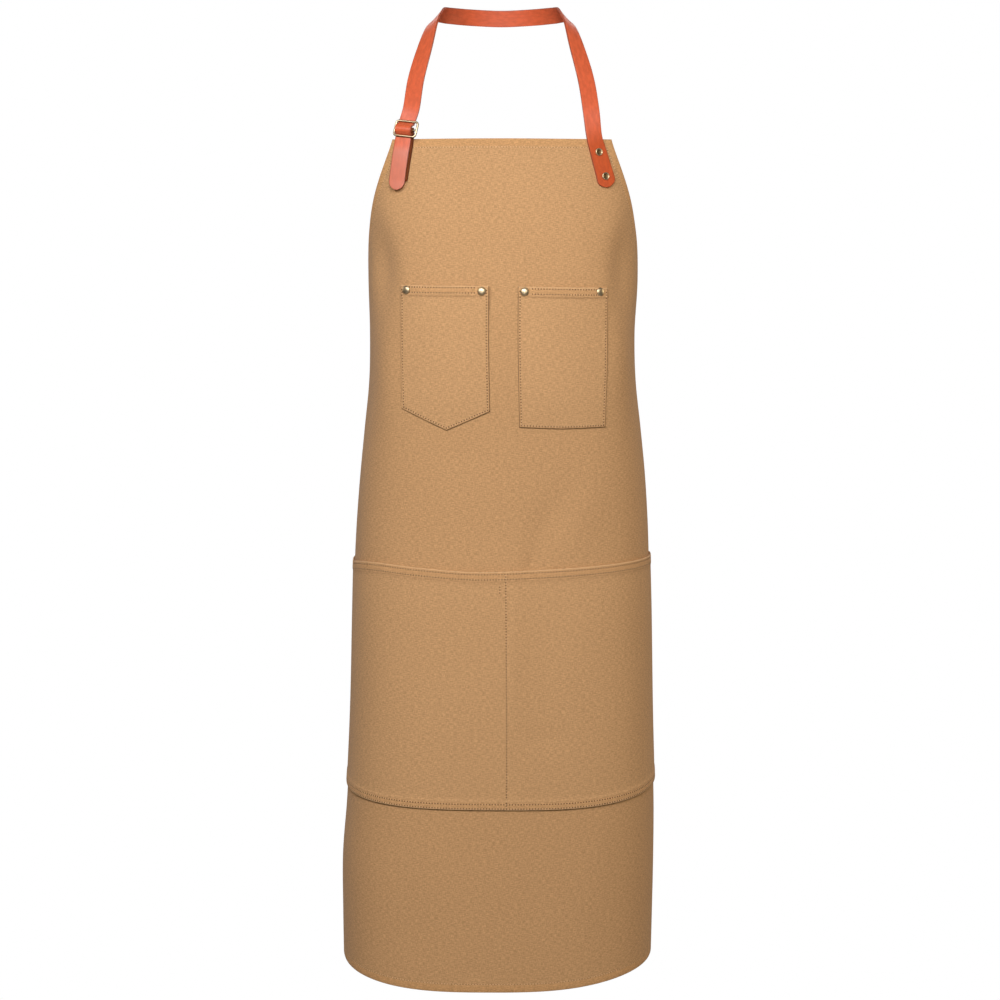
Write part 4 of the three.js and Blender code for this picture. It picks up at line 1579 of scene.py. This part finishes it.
@dataclass
class NeckStrap:
    """Leather strap from the right bib corner round the nape, through the buckle, to its free end.

    Each row of half_way is a place in millimetres and a facing, from the nape to the right bib corner.
    Each row of free_rows is a place along the free end's seat and a lift off it, in millimetres.
    """

    riveted: Matrix
    free: Matrix
    buckle: SlideBuckle
    width: float = 17.4 * MM
    thick: float = LEATHER
    crown: float = 0.15 * MM
    rounding: float = 0.4 * MM
    pitch: float = 2 * MM
    columns: int = 13
    rivets: Pair = (-12.9 * MM, 12.9 * MM)
    riveted_start: float = -28 * MM
    riveted_tip: float = 24 * MM
    riveted_half: float = 10 * MM
    riveted_depth: float = 7.5 * MM
    free_tip: float = 40 * MM
    tip_lift: float = 4.2 * MM
    tip_start: float = 0.06
    tip_points: int = 14
    # Reach from the riveted tip of that end's painted shade.
    riveted_end_shade_reach: Pair = (42 * MM, 66 * MM)
    # Reach from the free tip of that end's painted sheen.
    free_end_sheen_reach: Pair = (38 * MM, 48 * MM)
    sway: float = -1 * MM
    nape: Place = (0, 0.985, 0.174)
    free_rows: tuple[Pair, ...] = ((-6, 4.6), (5, 5.3), (18, 5))
    half_way: tuple[tuple[float, ...], ...] = (
        (34, -7, 1.5, 0.35, 0.92, 0.17),
        (55, -27, 2.9, 0.8, 0.5, 0.35),
        (64, -48, 3.2, 0.84, 0.1, 0.53),
        (67.8, -60, 0, 0.78, -0.2, 0.6),
        (72, -70, -7, 0.7, -0.42, 0.58),
        (79.6, -88, -32, 0.42, -0.74, 0.53),
        (88.3, -113, -65.4, 0.18, -0.84, 0.52),
        (92.9, -134, -96, 0.16, -0.9, 0.4),
    )

    def on_seat(self, seat: Matrix, along: float, lift: float, half: float | None = None) -> np.ndarray:
        """Set a station on a seat.

        Args:
            seat: The seat.
            along: The station's place along it.
            lift: Its lift off the seat.
            half: Its half width, or the strap's own.

        Returns:
            The station's place, facing and half width.
        """
        place = seat @ Vector((along, lift, 0))
        facing = seat.to_3x3() @ Vector((0, 1, 0))
        return np.array([*place, *facing, self.width / 2 if half is None else half])

    def round_tip(self, seat: Matrix, tip: float, lift: float, half: float, depth: float) -> list[np.ndarray]:
        """Round off an end of the strap.

        Args:
            seat: The seat that the end lies on.
            tip: The end's place along the seat.
            lift: Its lift off the seat.
            half: Half width where the rounding begins.
            depth: How far the rounding reaches in from the end.

        Returns:
            Stations from the end inwards.
        """
        return [
            self.on_seat(seat, tip - depth * (1 - math.cos(t)), lift, half * math.sin(t))
            for t in np.linspace(self.tip_start, math.pi / 2, self.tip_points)
        ]

    def widened(self, along: float) -> float:
        """Half width of the riveted end, which grows towards its tip."""
        share = (along - self.riveted_start) / (self.riveted_tip - self.riveted_depth - self.riveted_start)
        return self.width / 2 + (self.riveted_half - self.width / 2) * share

    def stations(self) -> np.ndarray:
        """Follow the strap from its riveted tip to its free tip.

        Returns:
            Place, facing and half width of each station, seven numbers a row.
        """
        half, rest = self.width / 2, GAP + self.thick / 2
        way = [
            np.array([x * MM + self.sway, y * MM, z * MM, *facing, half])
            for x, y, z, *facing in self.half_way
        ]
        mirror, shift = np.array([-1, 1, 1, -1, 1, 1, 1]), np.array([2 * self.sway, *[0] * 6])
        other = [row * mirror + shift for row in way]
        nape = np.array([*(np.array(self.nape) * self.thick / 2), *self.nape, half])
        around = [self.on_seat(self.riveted, self.riveted_start, rest), *way[::-1], nape, *other]
        around += [self.on_seat(self.free, along, lift) for along, lift in self.buckle.weave()]
        around += [self.on_seat(self.free, along * MM, lift * MM) for along, lift in self.free_rows]
        first = self.round_tip(self.riveted, self.riveted_tip, rest, self.riveted_half, self.riveted_depth)
        lain = [self.on_seat(self.riveted, along, rest, self.widened(along)) for along in self.rivets[::-1]]
        last = self.round_tip(self.free, self.free_tip, self.tip_lift, half, half)[::-1]
        middle = smooth_path(np.array([*lain, *around, last[0]]), self.pitch)
        return np.concatenate([first, middle[:-1], last])

    def build(self, *leathers: bpy.types.Material) -> bpy.types.Object:
        """Lay the strap along its stations and give it its wall.

        Args:
            leathers: The outer face, the cut edge and the inner face.

        Returns:
            The strap.
        """
        stations = self.stations()
        strap = strip("neck_strap_leather", stations, self.columns, self.crown)
        run = run_along(stations[:, :3])
        # The riveted end: painted darker as shade, and made rougher.
        riveted_end_shade = 1 - ramp(run, *self.riveted_end_shade_reach)
        # The free end: painted paler as a sheen.
        free_end_sheen = 1 - ramp(run[-1] - run, *self.free_end_sheen_reach)
        for name, values in (("riveted_end_shade", riveted_end_shade), ("free_end_sheen", free_end_sheen)):
            mark(strap, name, np.repeat(values[:, None], self.columns, axis=1))
        thicken(strap, self.thick, Wall.MIDDLE, self.rounding, rim_slot=1, back_slot=2)
        dress(strap, Slot.LEATHER, *leathers)
        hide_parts("neck_strap")
        return strap


# Finishes


class Nodes:
    """A node tree while it is being wired."""

    def __init__(self, tree: bpy.types.NodeTree) -> None:
        """Take an empty tree."""
        self.tree = tree

    def add(self, kind: str, feeds: dict | None = None, **settings: object) -> bpy.types.Node:
        """Add a node.

        Args:
            kind: The node's type.
            feeds: A value or a socket for each input, by name or number.
            settings: The node's own settings.

        Returns:
            The node.
        """
        node = self.tree.nodes.new(kind)
        for name, value in settings.items():
            setattr(node, name, value)
        self.feed(node, feeds or {})
        return node

    def feed(self, node: bpy.types.Node, feeds: dict) -> None:
        """Set or link a node's inputs.

        Args:
            node: The node.
            feeds: A value or a socket for each input, by name or number.
        """
        for name, value in feeds.items():
            if isinstance(value, bpy.types.NodeSocket):
                self.tree.links.new(value, node.inputs[name])
            else:
                node.inputs[name].default_value = value

    def attribute(self, name: str) -> bpy.types.NodeSocket:
        """A number that the piece keeps for each of its points."""
        return self.add("ShaderNodeAttribute", attribute_name=name).outputs["Fac"]

    def math(self, operation: str, *values: object) -> bpy.types.NodeSocket:
        """A sum, product or other operation on numbers."""
        return self.add("ShaderNodeMath", dict(enumerate(values)), operation=operation).outputs[0]

    def mix(self, factor: object, first: object, second: object, blend: str = "MIX") -> bpy.types.NodeSocket:
        """Two colours mixed by a factor."""
        feeds = {0: factor, 6: first, 7: second}
        return self.add("ShaderNodeMix", feeds, data_type="RGBA", blend_type=blend).outputs[2]

    def noise(self, vector: object, scale: Place, detail: float = 2) -> bpy.types.NodeSocket:
        """Cloudy noise with its own scale along each axis.

        Args:
            vector: The coordinates.
            scale: The scale along each axis.
            detail: How many finer layers the noise has.

        Returns:
            The noise, about 0.5 on average.
        """
        stretched = self.add("ShaderNodeMapping", {"Vector": vector, "Scale": scale}).outputs[0]
        feeds = {"Vector": stretched, "Scale": 1.0, "Detail": detail, "Roughness": 0.55}
        return self.add("ShaderNodeTexNoise", feeds).outputs[0]

    def span(self, value: object, low: float, high: float, first: float, last: float) -> bpy.types.NodeSocket:
        """A number carried smoothly from one range to another."""
        feeds = {0: value, 1: low, 2: high, 3: first, 4: last}
        return self.add("ShaderNodeMapRange", feeds, interpolation_type="SMOOTHSTEP").outputs[0]


def shared_group(
    name: str, inputs: dict[str, str], outputs: tuple[str, ...]
) -> tuple[Nodes, bpy.types.Node, bpy.types.Node]:
    """Start a shader node group that several materials place.

    Args:
        name: The group's name.
        inputs: Each input's name and socket type.
        outputs: The names of its number outputs.

    Returns:
        The group's tree, its input node and its output node.
    """
    tree = bpy.data.node_groups.new(name, "ShaderNodeTree")
    for title, kind in inputs.items():
        tree.interface.new_socket(title, in_out="INPUT", socket_type=kind)
    for title in outputs:
        tree.interface.new_socket(title, in_out="OUTPUT", socket_type="NodeSocketFloat")
    nodes = Nodes(tree)
    return nodes, nodes.add("NodeGroupInput"), nodes.add("NodeGroupOutput")


@dataclass(frozen=True)
class CanvasWeave:
    """Plain weave with slubs, shared by the canvases. A scale counts the waves in a metre of cloth."""

    weft: Place = (240, 1400, 1)
    warp: Place = (1400, 260, 1)
    cloud: Place = (16, 12, 1)
    cloud_detail: float = 3
    crossing_relief: float = 0.25
    warp_relief: float = 0.5
    warp_tone: float = 0.7
    cloud_tone: float = 0.06

    def group(self) -> bpy.types.NodeTree:
        """Build the node group.

        Returns:
            A group that makes a height for the bump and a tone for the colour from the cloth's coordinates.
        """
        nodes, given, made = shared_group(
            "canvas_weave", {"Cloth": "NodeSocketVector", "Threads": "NodeSocketFloat"}, ("Height", "Tone")
        )
        cloth = given.outputs["Cloth"]
        parts = nodes.add("ShaderNodeSeparateXYZ", {0: cloth}).outputs
        turn = nodes.math("MULTIPLY", given.outputs["Threads"], math.pi)
        waves = [nodes.math("SINE", nodes.math("MULTIPLY", part, turn)) for part in (parts[0], parts[1])]
        crossing = nodes.math("MULTIPLY", *waves)
        weft = nodes.noise(cloth, self.weft)
        warp = nodes.noise(cloth, self.warp)
        cloud = nodes.noise(cloth, self.cloud, self.cloud_detail)
        threads = nodes.math("MULTIPLY_ADD", crossing, self.crossing_relief, weft)
        clouded = nodes.math("MULTIPLY_ADD", cloud, self.cloud_tone, weft)
        tone = nodes.math("MULTIPLY_ADD", warp, self.warp_tone, clouded)
        nodes.feed(made, {
            "Height": nodes.math("MULTIPLY_ADD", warp, self.warp_relief, threads),
            "Tone": nodes.math("DIVIDE", tone, 1 + self.warp_tone + self.cloud_tone),
        })
        return nodes.tree


@dataclass(frozen=True)
class LeatherGrain:
    """Grain with streaks along the strap, shared by the leathers. Scales are as for the weave."""

    fine: Place = (1800, 1800, 1)
    streak: Place = (300, 110, 1)
    streak_detail: float = 3
    pore_relief: float = 0.6
    fine_tone: float = 0.35

    def group(self) -> bpy.types.NodeTree:
        """Build the node group.

        Returns:
            A group that makes a height for the bump and a tone for the colour from the leather's coordinates.
        """
        nodes, given, made = shared_group(
            "leather_grain", {"Leather": "NodeSocketVector", "Pores": "NodeSocketFloat"}, ("Height", "Tone")
        )
        leather, pores = given.outputs["Leather"], given.outputs["Pores"]
        cells = nodes.add("ShaderNodeTexVoronoi", {"Vector": leather, "Scale": pores}).outputs[0]
        fine = nodes.noise(leather, self.fine)
        streak = nodes.noise(leather, self.streak, self.streak_detail)
        tone = nodes.math("MULTIPLY_ADD", fine, self.fine_tone, streak)
        nodes.feed(made, {
            "Height": nodes.math("MULTIPLY_ADD", cells, self.pore_relief, fine),
            "Tone": nodes.math("DIVIDE", tone, 1 + self.fine_tone),
        })
        return nodes.tree


def new_material(name: str) -> tuple[bpy.types.Material, Nodes, bpy.types.Node]:
    """Start a material with its shader.

    Args:
        name: The material's name.

    Returns:
        The material, its nodes and its shader.
    """
    material = bpy.data.materials.new(name)
    material.use_nodes = True
    nodes = Nodes(material.node_tree)
    return material, nodes, material.node_tree.nodes["Principled BSDF"]


def opaque(colour: Colour) -> tuple[float, float, float, float]:
    """A colour with full cover."""
    return (*colour, 1.0)


@dataclass(frozen=True)
class CanvasFinish:
    """Matt plain-woven cotton with slubs and a warmer hem; on a pocket, its folded edges painted lighter,
    partly as wear and partly as a painted highlight, and a painted shade line along its sewn edges.

    A pair of distances is where a mark on the cloth is full and where it ends.
    """

    name: str
    light: Colour
    dark: Colour
    tone_range: Pair = (0.38, 0.62)
    hem_tint: Colour = (1.04, 1.0, 0.93)
    hem_reach: Pair = (6 * MM, 10 * MM)
    hem_pucker: float = 1.2
    pucker_scale: Place = (140, 140, 1)
    # A pocket's folded edges painted lighter: partly wear, partly a painted highlight where the rolled edge
    # catches light.
    edge_wear_and_highlight: float = 0.0
    wear_and_highlight_reach: Pair = (0.7 * MM, 1.8 * MM)
    worn_and_highlight_colour: Colour = (0.80, 0.54, 0.29)
    # A painted shade line along a pocket's sewn edges, where the pocket's edge shadows the panel.
    seam_shade: float = 0.0
    shade_reach: Pair = (0.2 * MM, 0.9 * MM)
    shade_colour: Colour = (0.10, 0.05, 0.02)
    threads: float = 1450
    relief: float = 0.35 * MM
    relief_strength: float = 0.5
    roughness: float = 0.95
    shine: float = 0.12
    sheen: float = 0.08
    sheen_roughness: float = 0.5

    def material(self, weave: bpy.types.NodeTree) -> bpy.types.Material:
        """Make the material.

        Args:
            weave: The shared weave.

        Returns:
            The canvas.
        """
        material, nodes, shader = new_material(self.name)
        cloth = nodes.add("ShaderNodeUVMap").outputs[0]
        placed = nodes.add("ShaderNodeGroup", node_tree=weave)
        nodes.feed(placed, {"Cloth": cloth, "Threads": self.threads})
        tone = nodes.span(placed.outputs["Tone"], *self.tone_range, 0, 1)
        edge = nodes.attribute("edge")
        in_hem = nodes.span(edge, *self.hem_reach, 1, 0)
        base = nodes.mix(tone, opaque(self.dark), opaque(self.light))
        tinted = nodes.mix(in_hem, base, nodes.mix(1.0, base, opaque(self.hem_tint), "MULTIPLY"))
        # Folded edges painted lighter, as wear and as a painted highlight.
        if self.edge_wear_and_highlight:
            wear_and_highlight = nodes.span(edge, *self.wear_and_highlight_reach, self.edge_wear_and_highlight, 0)
            tinted = nodes.mix(wear_and_highlight, tinted, opaque(self.worn_and_highlight_colour))
        # Painted shade along the sewn edges.
        if self.seam_shade:
            shade = nodes.span(nodes.attribute("seam"), *self.shade_reach, self.seam_shade, 0)
            tinted = nodes.mix(shade, tinted, opaque(self.shade_colour))
        pucker = nodes.math("MULTIPLY", nodes.noise(cloth, self.pucker_scale), in_hem)
        height = nodes.math("MULTIPLY_ADD", pucker, self.hem_pucker, placed.outputs["Height"])
        relief = {"Height": height, "Strength": self.relief_strength, "Distance": self.relief}
        nodes.feed(shader, {
            "Base Color": tinted,
            "Normal": nodes.add("ShaderNodeBump", relief).outputs[0],
            "Roughness": self.roughness,
            "Specular IOR Level": self.shine,
            "Sheen Weight": self.sheen,
            "Sheen Roughness": self.sheen_roughness,
        })
        return material


@dataclass(frozen=True)
class LeatherFinish:
    """Smooth dyed leather with fine pores, streaks along its length and darker rubbed edges.

    The strap marks its riveted end, painted deeper and darker as shade and made rougher, and its free end,
    painted paler as a sheen.
    """

    name: str
    light: Colour
    dark: Colour
    tone_range: Pair = (0.35, 0.65)
    edge_colour: Colour = (0.16, 0.035, 0.015)
    edge_rub: float = 0.5
    edge_reach: Pair = (0.1 * MM, 0.8 * MM)
    # The riveted end is painted deeper and darker, as shade where no sheen falls, and made rougher.
    riveted_end_shade_tint: Colour = (0.80, 0.61, 0.12)
    riveted_end_roughness: float = 0.2
    # The free end is painted paler and pinker as a sheen.
    free_end_sheen_colour: Colour = (0.62, 0.21, 0.13)
    free_end_sheen_share: float = 0.6
    roughness: float = 0.42
    rough_range: Pair = (0.2, 0.8)
    rough_spread: Pair = (0.08, 0.05)
    shine: float = 0.55
    pores: float = 1100
    relief: float = 0.2 * MM
    relief_strength: float = 0.25

    def material(self, grain: bpy.types.NodeTree) -> bpy.types.Material:
        """Make the material.

        Args:
            grain: The shared grain.

        Returns:
            The leather.
        """
        material, nodes, shader = new_material(self.name)
        placed = nodes.add("ShaderNodeGroup", node_tree=grain)
        nodes.feed(placed, {"Leather": nodes.add("ShaderNodeUVMap").outputs[0], "Pores": self.pores})
        tone = placed.outputs["Tone"]
        edge, riveted_end_shade, free_end_sheen = (nodes.attribute(name) for name in ("edge", "riveted_end_shade", "free_end_sheen"))
        rubbed = nodes.span(edge, *self.edge_reach, self.edge_rub, 0)
        base = nodes.mix(nodes.span(tone, *self.tone_range, 0, 1), opaque(self.dark), opaque(self.light))
        # Painted shade: the riveted end darkened and deepened in tone.
        base = nodes.mix(riveted_end_shade, base, nodes.mix(1.0, base, opaque(self.riveted_end_shade_tint), "MULTIPLY"))
        # Painted sheen: the free end made paler.
        base = nodes.mix(nodes.math("MULTIPLY", free_end_sheen, self.free_end_sheen_share), base, opaque(self.free_end_sheen_colour))
        rougher, smoother = self.rough_spread
        rough = nodes.span(tone, *self.rough_range, self.roughness + rougher, self.roughness - smoother)
        relief = {
            "Height": placed.outputs["Height"], "Strength": self.relief_strength, "Distance": self.relief
        }
        nodes.feed(shader, {
            "Base Color": nodes.mix(rubbed, base, opaque(self.edge_colour)),
            "Roughness": nodes.math("MULTIPLY_ADD", riveted_end_shade, self.riveted_end_roughness, rough),
            "Normal": nodes.add("ShaderNodeBump", relief).outputs[0],
            "Specular IOR Level": self.shine,
        })
        return material


@dataclass(frozen=True)
class BrassFinish:
    """Antique brass: bright where it is rubbed and, on the buckle, as a painted highlight; dark olive in its
    hollows and, on the buckle's faces turned from the front, as painted shade.
    """

    name: str
    bright: Colour = (0.80, 0.61, 0.37)
    dark: Colour = (0.20, 0.125, 0.055)
    cloud_scale: Place = (700, 700, 700)
    cloud_detail: float = 3
    cloud_share: float = 0.4
    rubbed_range: Pair = (0.05, 0.85)
    roughness: Pair = (0.52, 0.36)

    def material(self) -> bpy.types.Material:
        """Make the material, with its patina from each piece's polish.

        Returns:
            The brass.
        """
        material, nodes, shader = new_material(self.name)
        place = nodes.add("ShaderNodeTexCoord").outputs["Object"]
        cloud = nodes.noise(place, self.cloud_scale, self.cloud_detail)
        polish = nodes.math("SUBTRACT", nodes.attribute("polish"), self.cloud_share / 2)
        rubbed = nodes.math("MULTIPLY_ADD", cloud, self.cloud_share, polish)
        share = nodes.span(rubbed, *self.rubbed_range, 0, 1)
        nodes.feed(shader, {
            "Base Color": nodes.mix(share, opaque(self.dark), opaque(self.bright)),
            "Roughness": nodes.span(rubbed, 0, 1, *self.roughness),
            "Metallic": 1.0,
        })
        return material


@dataclass(frozen=True)
class ThreadFinish:
    """Cotton thread, or the shade in a needle hole."""

    name: str
    light: Colour
    dark: Colour
    tone_scale: Place = (350, 350, 350)
    tone_range: Pair = (0.3, 0.7)
    roughness: float = 0.8
    shine: float = 0.3

    def material(self) -> bpy.types.Material:
        """Make the material, with a little variation along the seam.

        Returns:
            The thread or the shade.
        """
        material, nodes, shader = new_material(self.name)
        place = nodes.add("ShaderNodeTexCoord").outputs["Object"]
        tone = nodes.span(nodes.noise(place, self.tone_scale), *self.tone_range, 0, 1)
        nodes.feed(shader, {
            "Base Color": nodes.mix(tone, opaque(self.dark), opaque(self.light)),
            "Roughness": self.roughness,
            "Specular IOR Level": self.shine,
        })
        return material


# Studio


@dataclass(frozen=True)
class SoftBox:
    """A square soft light: its place, what it aims at, its size, its power in watts and its tint."""

    name: str
    place: Place
    aim: Place
    size: float
    power: float
    tint: Colour = (1, 1, 1)

    def build(self) -> None:
        """Hang the light and turn it to its aim."""
        light = bpy.data.lights.new(self.name, "AREA")
        light.energy = self.power
        light.color = self.tint
        light.size = self.size
        lamp = bpy.data.objects.new(self.name, light)
        lamp.location = self.place
        lamp.rotation_euler = (Vector(self.aim) - Vector(self.place)).to_track_quat("-Z", "Y").to_euler()
        bpy.context.scene.collection.objects.link(lamp)


@dataclass
class Studio:
    """Camera, soft lights, a white surround and a grey floor under the hanging apron."""

    eye: Place = (-0.002, -3.490, -0.0858)
    pitch: float = -7.066
    lens: float = 116.17
    floor_z: float = -1.45
    floor_half: float = 1.2
    floor_greys: Pair = (0.46, 0.52)
    floor_scale: Place = (6, 6, 6)
    floor_roughness: float = 0.7
    ambient: float = 0.03
    mirrored: float = 0.06
    lights: tuple[SoftBox, ...] = (
        SoftBox("left_high", (-1.3, -1.9, 0.9), (0, -0.15, -0.2), 0.5, 17.5),
        SoftBox("front_panel", (0.75, -2.55, 0.95), (0, -0.15, -0.3), 1.4, 17.5, (1.03, 1, 0.94)),
        SoftBox("front_near", (0, -1.7, 0.35), (0, -0.15, -0.3), 0.6, 11.3, (0.98, 1, 1.03)),
        SoftBox("front_low", (0, -2.6, -0.6), (0, -0.15, -0.7), 0.8, 3.5, (1.05, 1, 0.92)),
        SoftBox("top_key", (-0.3, -1.6, 0.75), (0, -0.15, -0.2), 0.7, 8.5, (0.86, 1, 1.34)),
        SoftBox("left_rim", (-2.2, 0.3, 0), (0, -0.05, -0.4), 1.0, 3.0, (1.16, 1, 0.74)),
        SoftBox("right_rim", (2.2, 0.3, 0), (0, -0.05, -0.4), 1.0, 11.5, (1.12, 1, 0.74)),
        SoftBox("back_left_panel", (-1.6, 2.2, 0.6), (0, 0, -0.5), 1.6, 20),
        SoftBox("back_right_panel", (1.6, 2.2, 0.6), (0, 0, -0.5), 1.6, 17),
    )

    def build(self) -> None:
        """Set up the camera, the lights, the surround and the floor."""
        scene = bpy.context.scene
        scene.view_settings.view_transform = "Standard"
        camera = bpy.data.cameras.new("camera")
        camera.lens = self.lens
        viewer = bpy.data.objects.new("camera", camera)
        viewer.location = self.eye
        viewer.rotation_euler = (math.radians(90 + self.pitch), 0, 0)
        scene.collection.objects.link(viewer)
        scene.camera = viewer
        for light in self.lights:
            light.build()
        self.surround(scene)
        self.floor()

    def surround(self, scene: bpy.types.Scene) -> None:
        """Put up a white surround that lights the apron only a little.

        Args:
            scene: The scene that it surrounds.
        """
        world = bpy.data.worlds.new("surround")
        scene.world = world
        world.use_nodes = True
        nodes = Nodes(world.node_tree)
        path = nodes.add("ShaderNodeLightPath").outputs
        mirrored = nodes.span(path["Is Glossy Ray"], 0, 1, self.ambient, self.mirrored)
        strength = nodes.math("MAXIMUM", mirrored, path["Is Camera Ray"])
        nodes.feed(world.node_tree.nodes["Background"], {"Color": (1, 1, 1, 1), "Strength": strength})

    def floor(self) -> None:
        """Lay a grey floor, lower than the front view reaches."""
        start_alone()
        bpy.ops.mesh.primitive_plane_add(size=2 * self.floor_half, location=(0, 0, self.floor_z))
        floor = bpy.context.object
        floor.name = "floor"
        material, nodes, shader = new_material("floor_paint")
        place = nodes.add("ShaderNodeTexCoord").outputs["Object"]
        greys = [opaque((grey, grey, grey)) for grey in self.floor_greys]
        paint = nodes.mix(nodes.noise(place, self.floor_scale), *greys)
        nodes.feed(shader, {"Base Color": paint, "Roughness": self.floor_roughness})
        floor.data.materials.append(material)


# Assembly


@dataclass
class BibApron:
    """The whole apron, dressed piece by piece over its frame.

    A strap end's seat is its place across the front and its height, in millimetres, and its lean.
    """

    form: WornForm = field(default_factory=WornForm)
    free_seat: Place = (-102, -138.7, -0.1)
    riveted_seat: Place = (102.5, -151.7, 0.26)
    hem_hole_shade: float = 0.35 * MM

    def __post_init__(self) -> None:
        """Make the finishes that the pieces share."""
        weave, grain = CanvasWeave().group(), LeatherGrain().group()
        self.canvas = CanvasFinish("tan_canvas", (0.66, 0.362, 0.158), (0.468, 0.252, 0.106)).material(weave)
        # Pocket canvas: edges painted lighter as wear and as a painted highlight, and a painted shade line
        # along the sewn edges.
        self.pocket_canvas = CanvasFinish(
            "tan_pocket_canvas", (0.68, 0.376, 0.166), (0.49, 0.267, 0.114),
            hem_tint=(1.02, 1.0, 0.97), edge_wear_and_highlight=0.3, seam_shade=0.95,
        ).material(weave)
        self.thread = ThreadFinish("tan_thread", (0.76, 0.48, 0.24), (0.64, 0.38, 0.18)).material()
        # Needle holes are dark discs of painted shade.
        self.hole_shade = ThreadFinish("needle_hole_shade", (0.20, 0.088, 0.030), (0.11, 0.047, 0.016)).material()
        self.leather = LeatherFinish(
            "orange_leather", (0.76, 0.132, 0.044), (0.62, 0.104, 0.034)
        ).material(grain)
        self.lining = LeatherFinish(
            "strap_inner_leather", (0.83, 0.18, 0.10), (0.63, 0.125, 0.066), roughness=0.36
        ).material(grain)
        # The tab is dressed dark brown: painted shade for the shadow beside the strap's free end.
        self.tab_shade_leather = LeatherFinish(
            "tab_leather_painted_shade", (0.20, 0.052, 0.010), (0.15, 0.038, 0.007), roughness=0.6, shine=0.1
        ).material(grain)
        self.cut_edge = LeatherFinish(
            "leather_cut_edge", (0.19, 0.047, 0.014), (0.11, 0.026, 0.008), roughness=0.6, shine=0.15
        ).material(grain)
        self.brass = BrassFinish("antique_brass").material()

    def build(self, nodes: dict[str, bpy.types.Object]) -> None:
        """Build every piece.

        Args:
            nodes: The frame's own nodes, for the one that stays as it is.
        """
        panel = ApronPanel(self.form)
        pockets = self.chest_pockets(panel)
        self.sew_cloth(panel, [*pockets, SkirtPocket(panel=panel)])
        free, riveted = (
            self.form.seat(x * MM, z * MM, lean) for x, z, lean in (self.free_seat, self.riveted_seat)
        )
        buckle = SlideBuckle(free)
        buckle.build(self.brass)
        # The tab's faces take the dark painted shade.
        BuckleTab(buckle).build(self.tab_shade_leather, self.cut_edge)
        strap = NeckStrap(riveted, free, buckle)
        strap.build(self.leather, self.cut_edge, self.lining)
        self.set_rivets(panel, pockets, strap)
        hidden = nodes["tab_rivet"]
        hidden.data.materials.clear()
        hidden.data.materials.append(self.brass)

    def chest_pockets(self, panel: ApronPanel) -> list[ChestPocket]:
        """Lay out the chest pockets.

        Args:
            panel: The panel that they are sewn to.

        Returns:
            The pointed pocket on the left and the square one on the right.
        """
        pointed = ChestPocket(
            name="chest_pocket_left", panel=panel, side=-1, flare=1.3 * MM, outer_shade_ease=0.45 * MM,
            mouth=((14.5, -275), (109.5, -275)),
            foot=((13, -404), (58, -424), (106.5, -402.5)),
            rivets=((101.5, -280), (22, -280.5)),
        )
        square = ChestPocket(
            name="chest_pocket_right", panel=panel, side=1, flare=0.2 * MM,
            mouth=((15, -275.5), (112, -278)),
            foot=((17, -420.5), (62, -422.5), (108.5, -422)),
            rivets=((22, -281), (101.5, -282)),
        )
        return [pointed, square]

    def sew_cloth(self, panel: ApronPanel, pockets: list[ChestPocket | SkirtPocket]) -> None:
        """Args:
            panel: The panel.
            pockets: The pockets that are sewn to it.
        """
        thread = Stitching("apron_panel_stitching", hole_shade=self.hem_hole_shade)
        cloth = panel.build(self.canvas, thread)
        sewn = thread.build(Slot.CANVAS, self.thread, self.hole_shade)
        flat, area = (2 * panel.skirt_half, panel.top - panel.bottom), panel.flat_area()
        for pocket in pockets:
            thread = Stitching(f"{pocket.name}_stitching")
            patch = pocket.build(self.pocket_canvas, thread)
            sewn = thread.build(Slot.POCKET, self.thread, self.hole_shade)
            pocket.flat()

    def set_rivets(self, panel: ApronPanel, pockets: list[ChestPocket], strap: NeckStrap) -> None:
        """Set the rivets of the chest pockets and of the strap's fastened end.

        Args:
            panel: The panel that the rivets go through.
            pockets: The chest pockets.
            strap: The strap.
        """
        rivets = Rivets()
        stacks = [(pocket, pocket.band_wall + GAP + CANVAS) for pocket in pockets]
        seats = [(seat, stack) for pocket, stack in stacks for seat in pocket.rivet_seats()]
        for number, (seat, stack) in enumerate(seats, start=1):
            rivets.build(f"pocket_rivet_{number}", seat, stack, rivets.dome_profile(), self.brass)
        stack = strap.thick + GAP + panel.hem_wall
        for name, along in zip(("strap_rivet_upper", "strap_rivet_lower"), strap.rivets):
            seat = strap.riveted @ Matrix.Translation((along, 2 * GAP + strap.thick, 0))
            rivets.build(name, seat, stack, rivets.dish_profile(), self.brass)


def main() -> None:
    """Load the frame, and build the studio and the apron."""
    logging.basicConfig(level=logging.INFO, format="%(name)s: %(message)s")
    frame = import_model()
    Studio().build()
    BibApron().build(frame["nodes"])


if __name__ == "__main__":
    main()
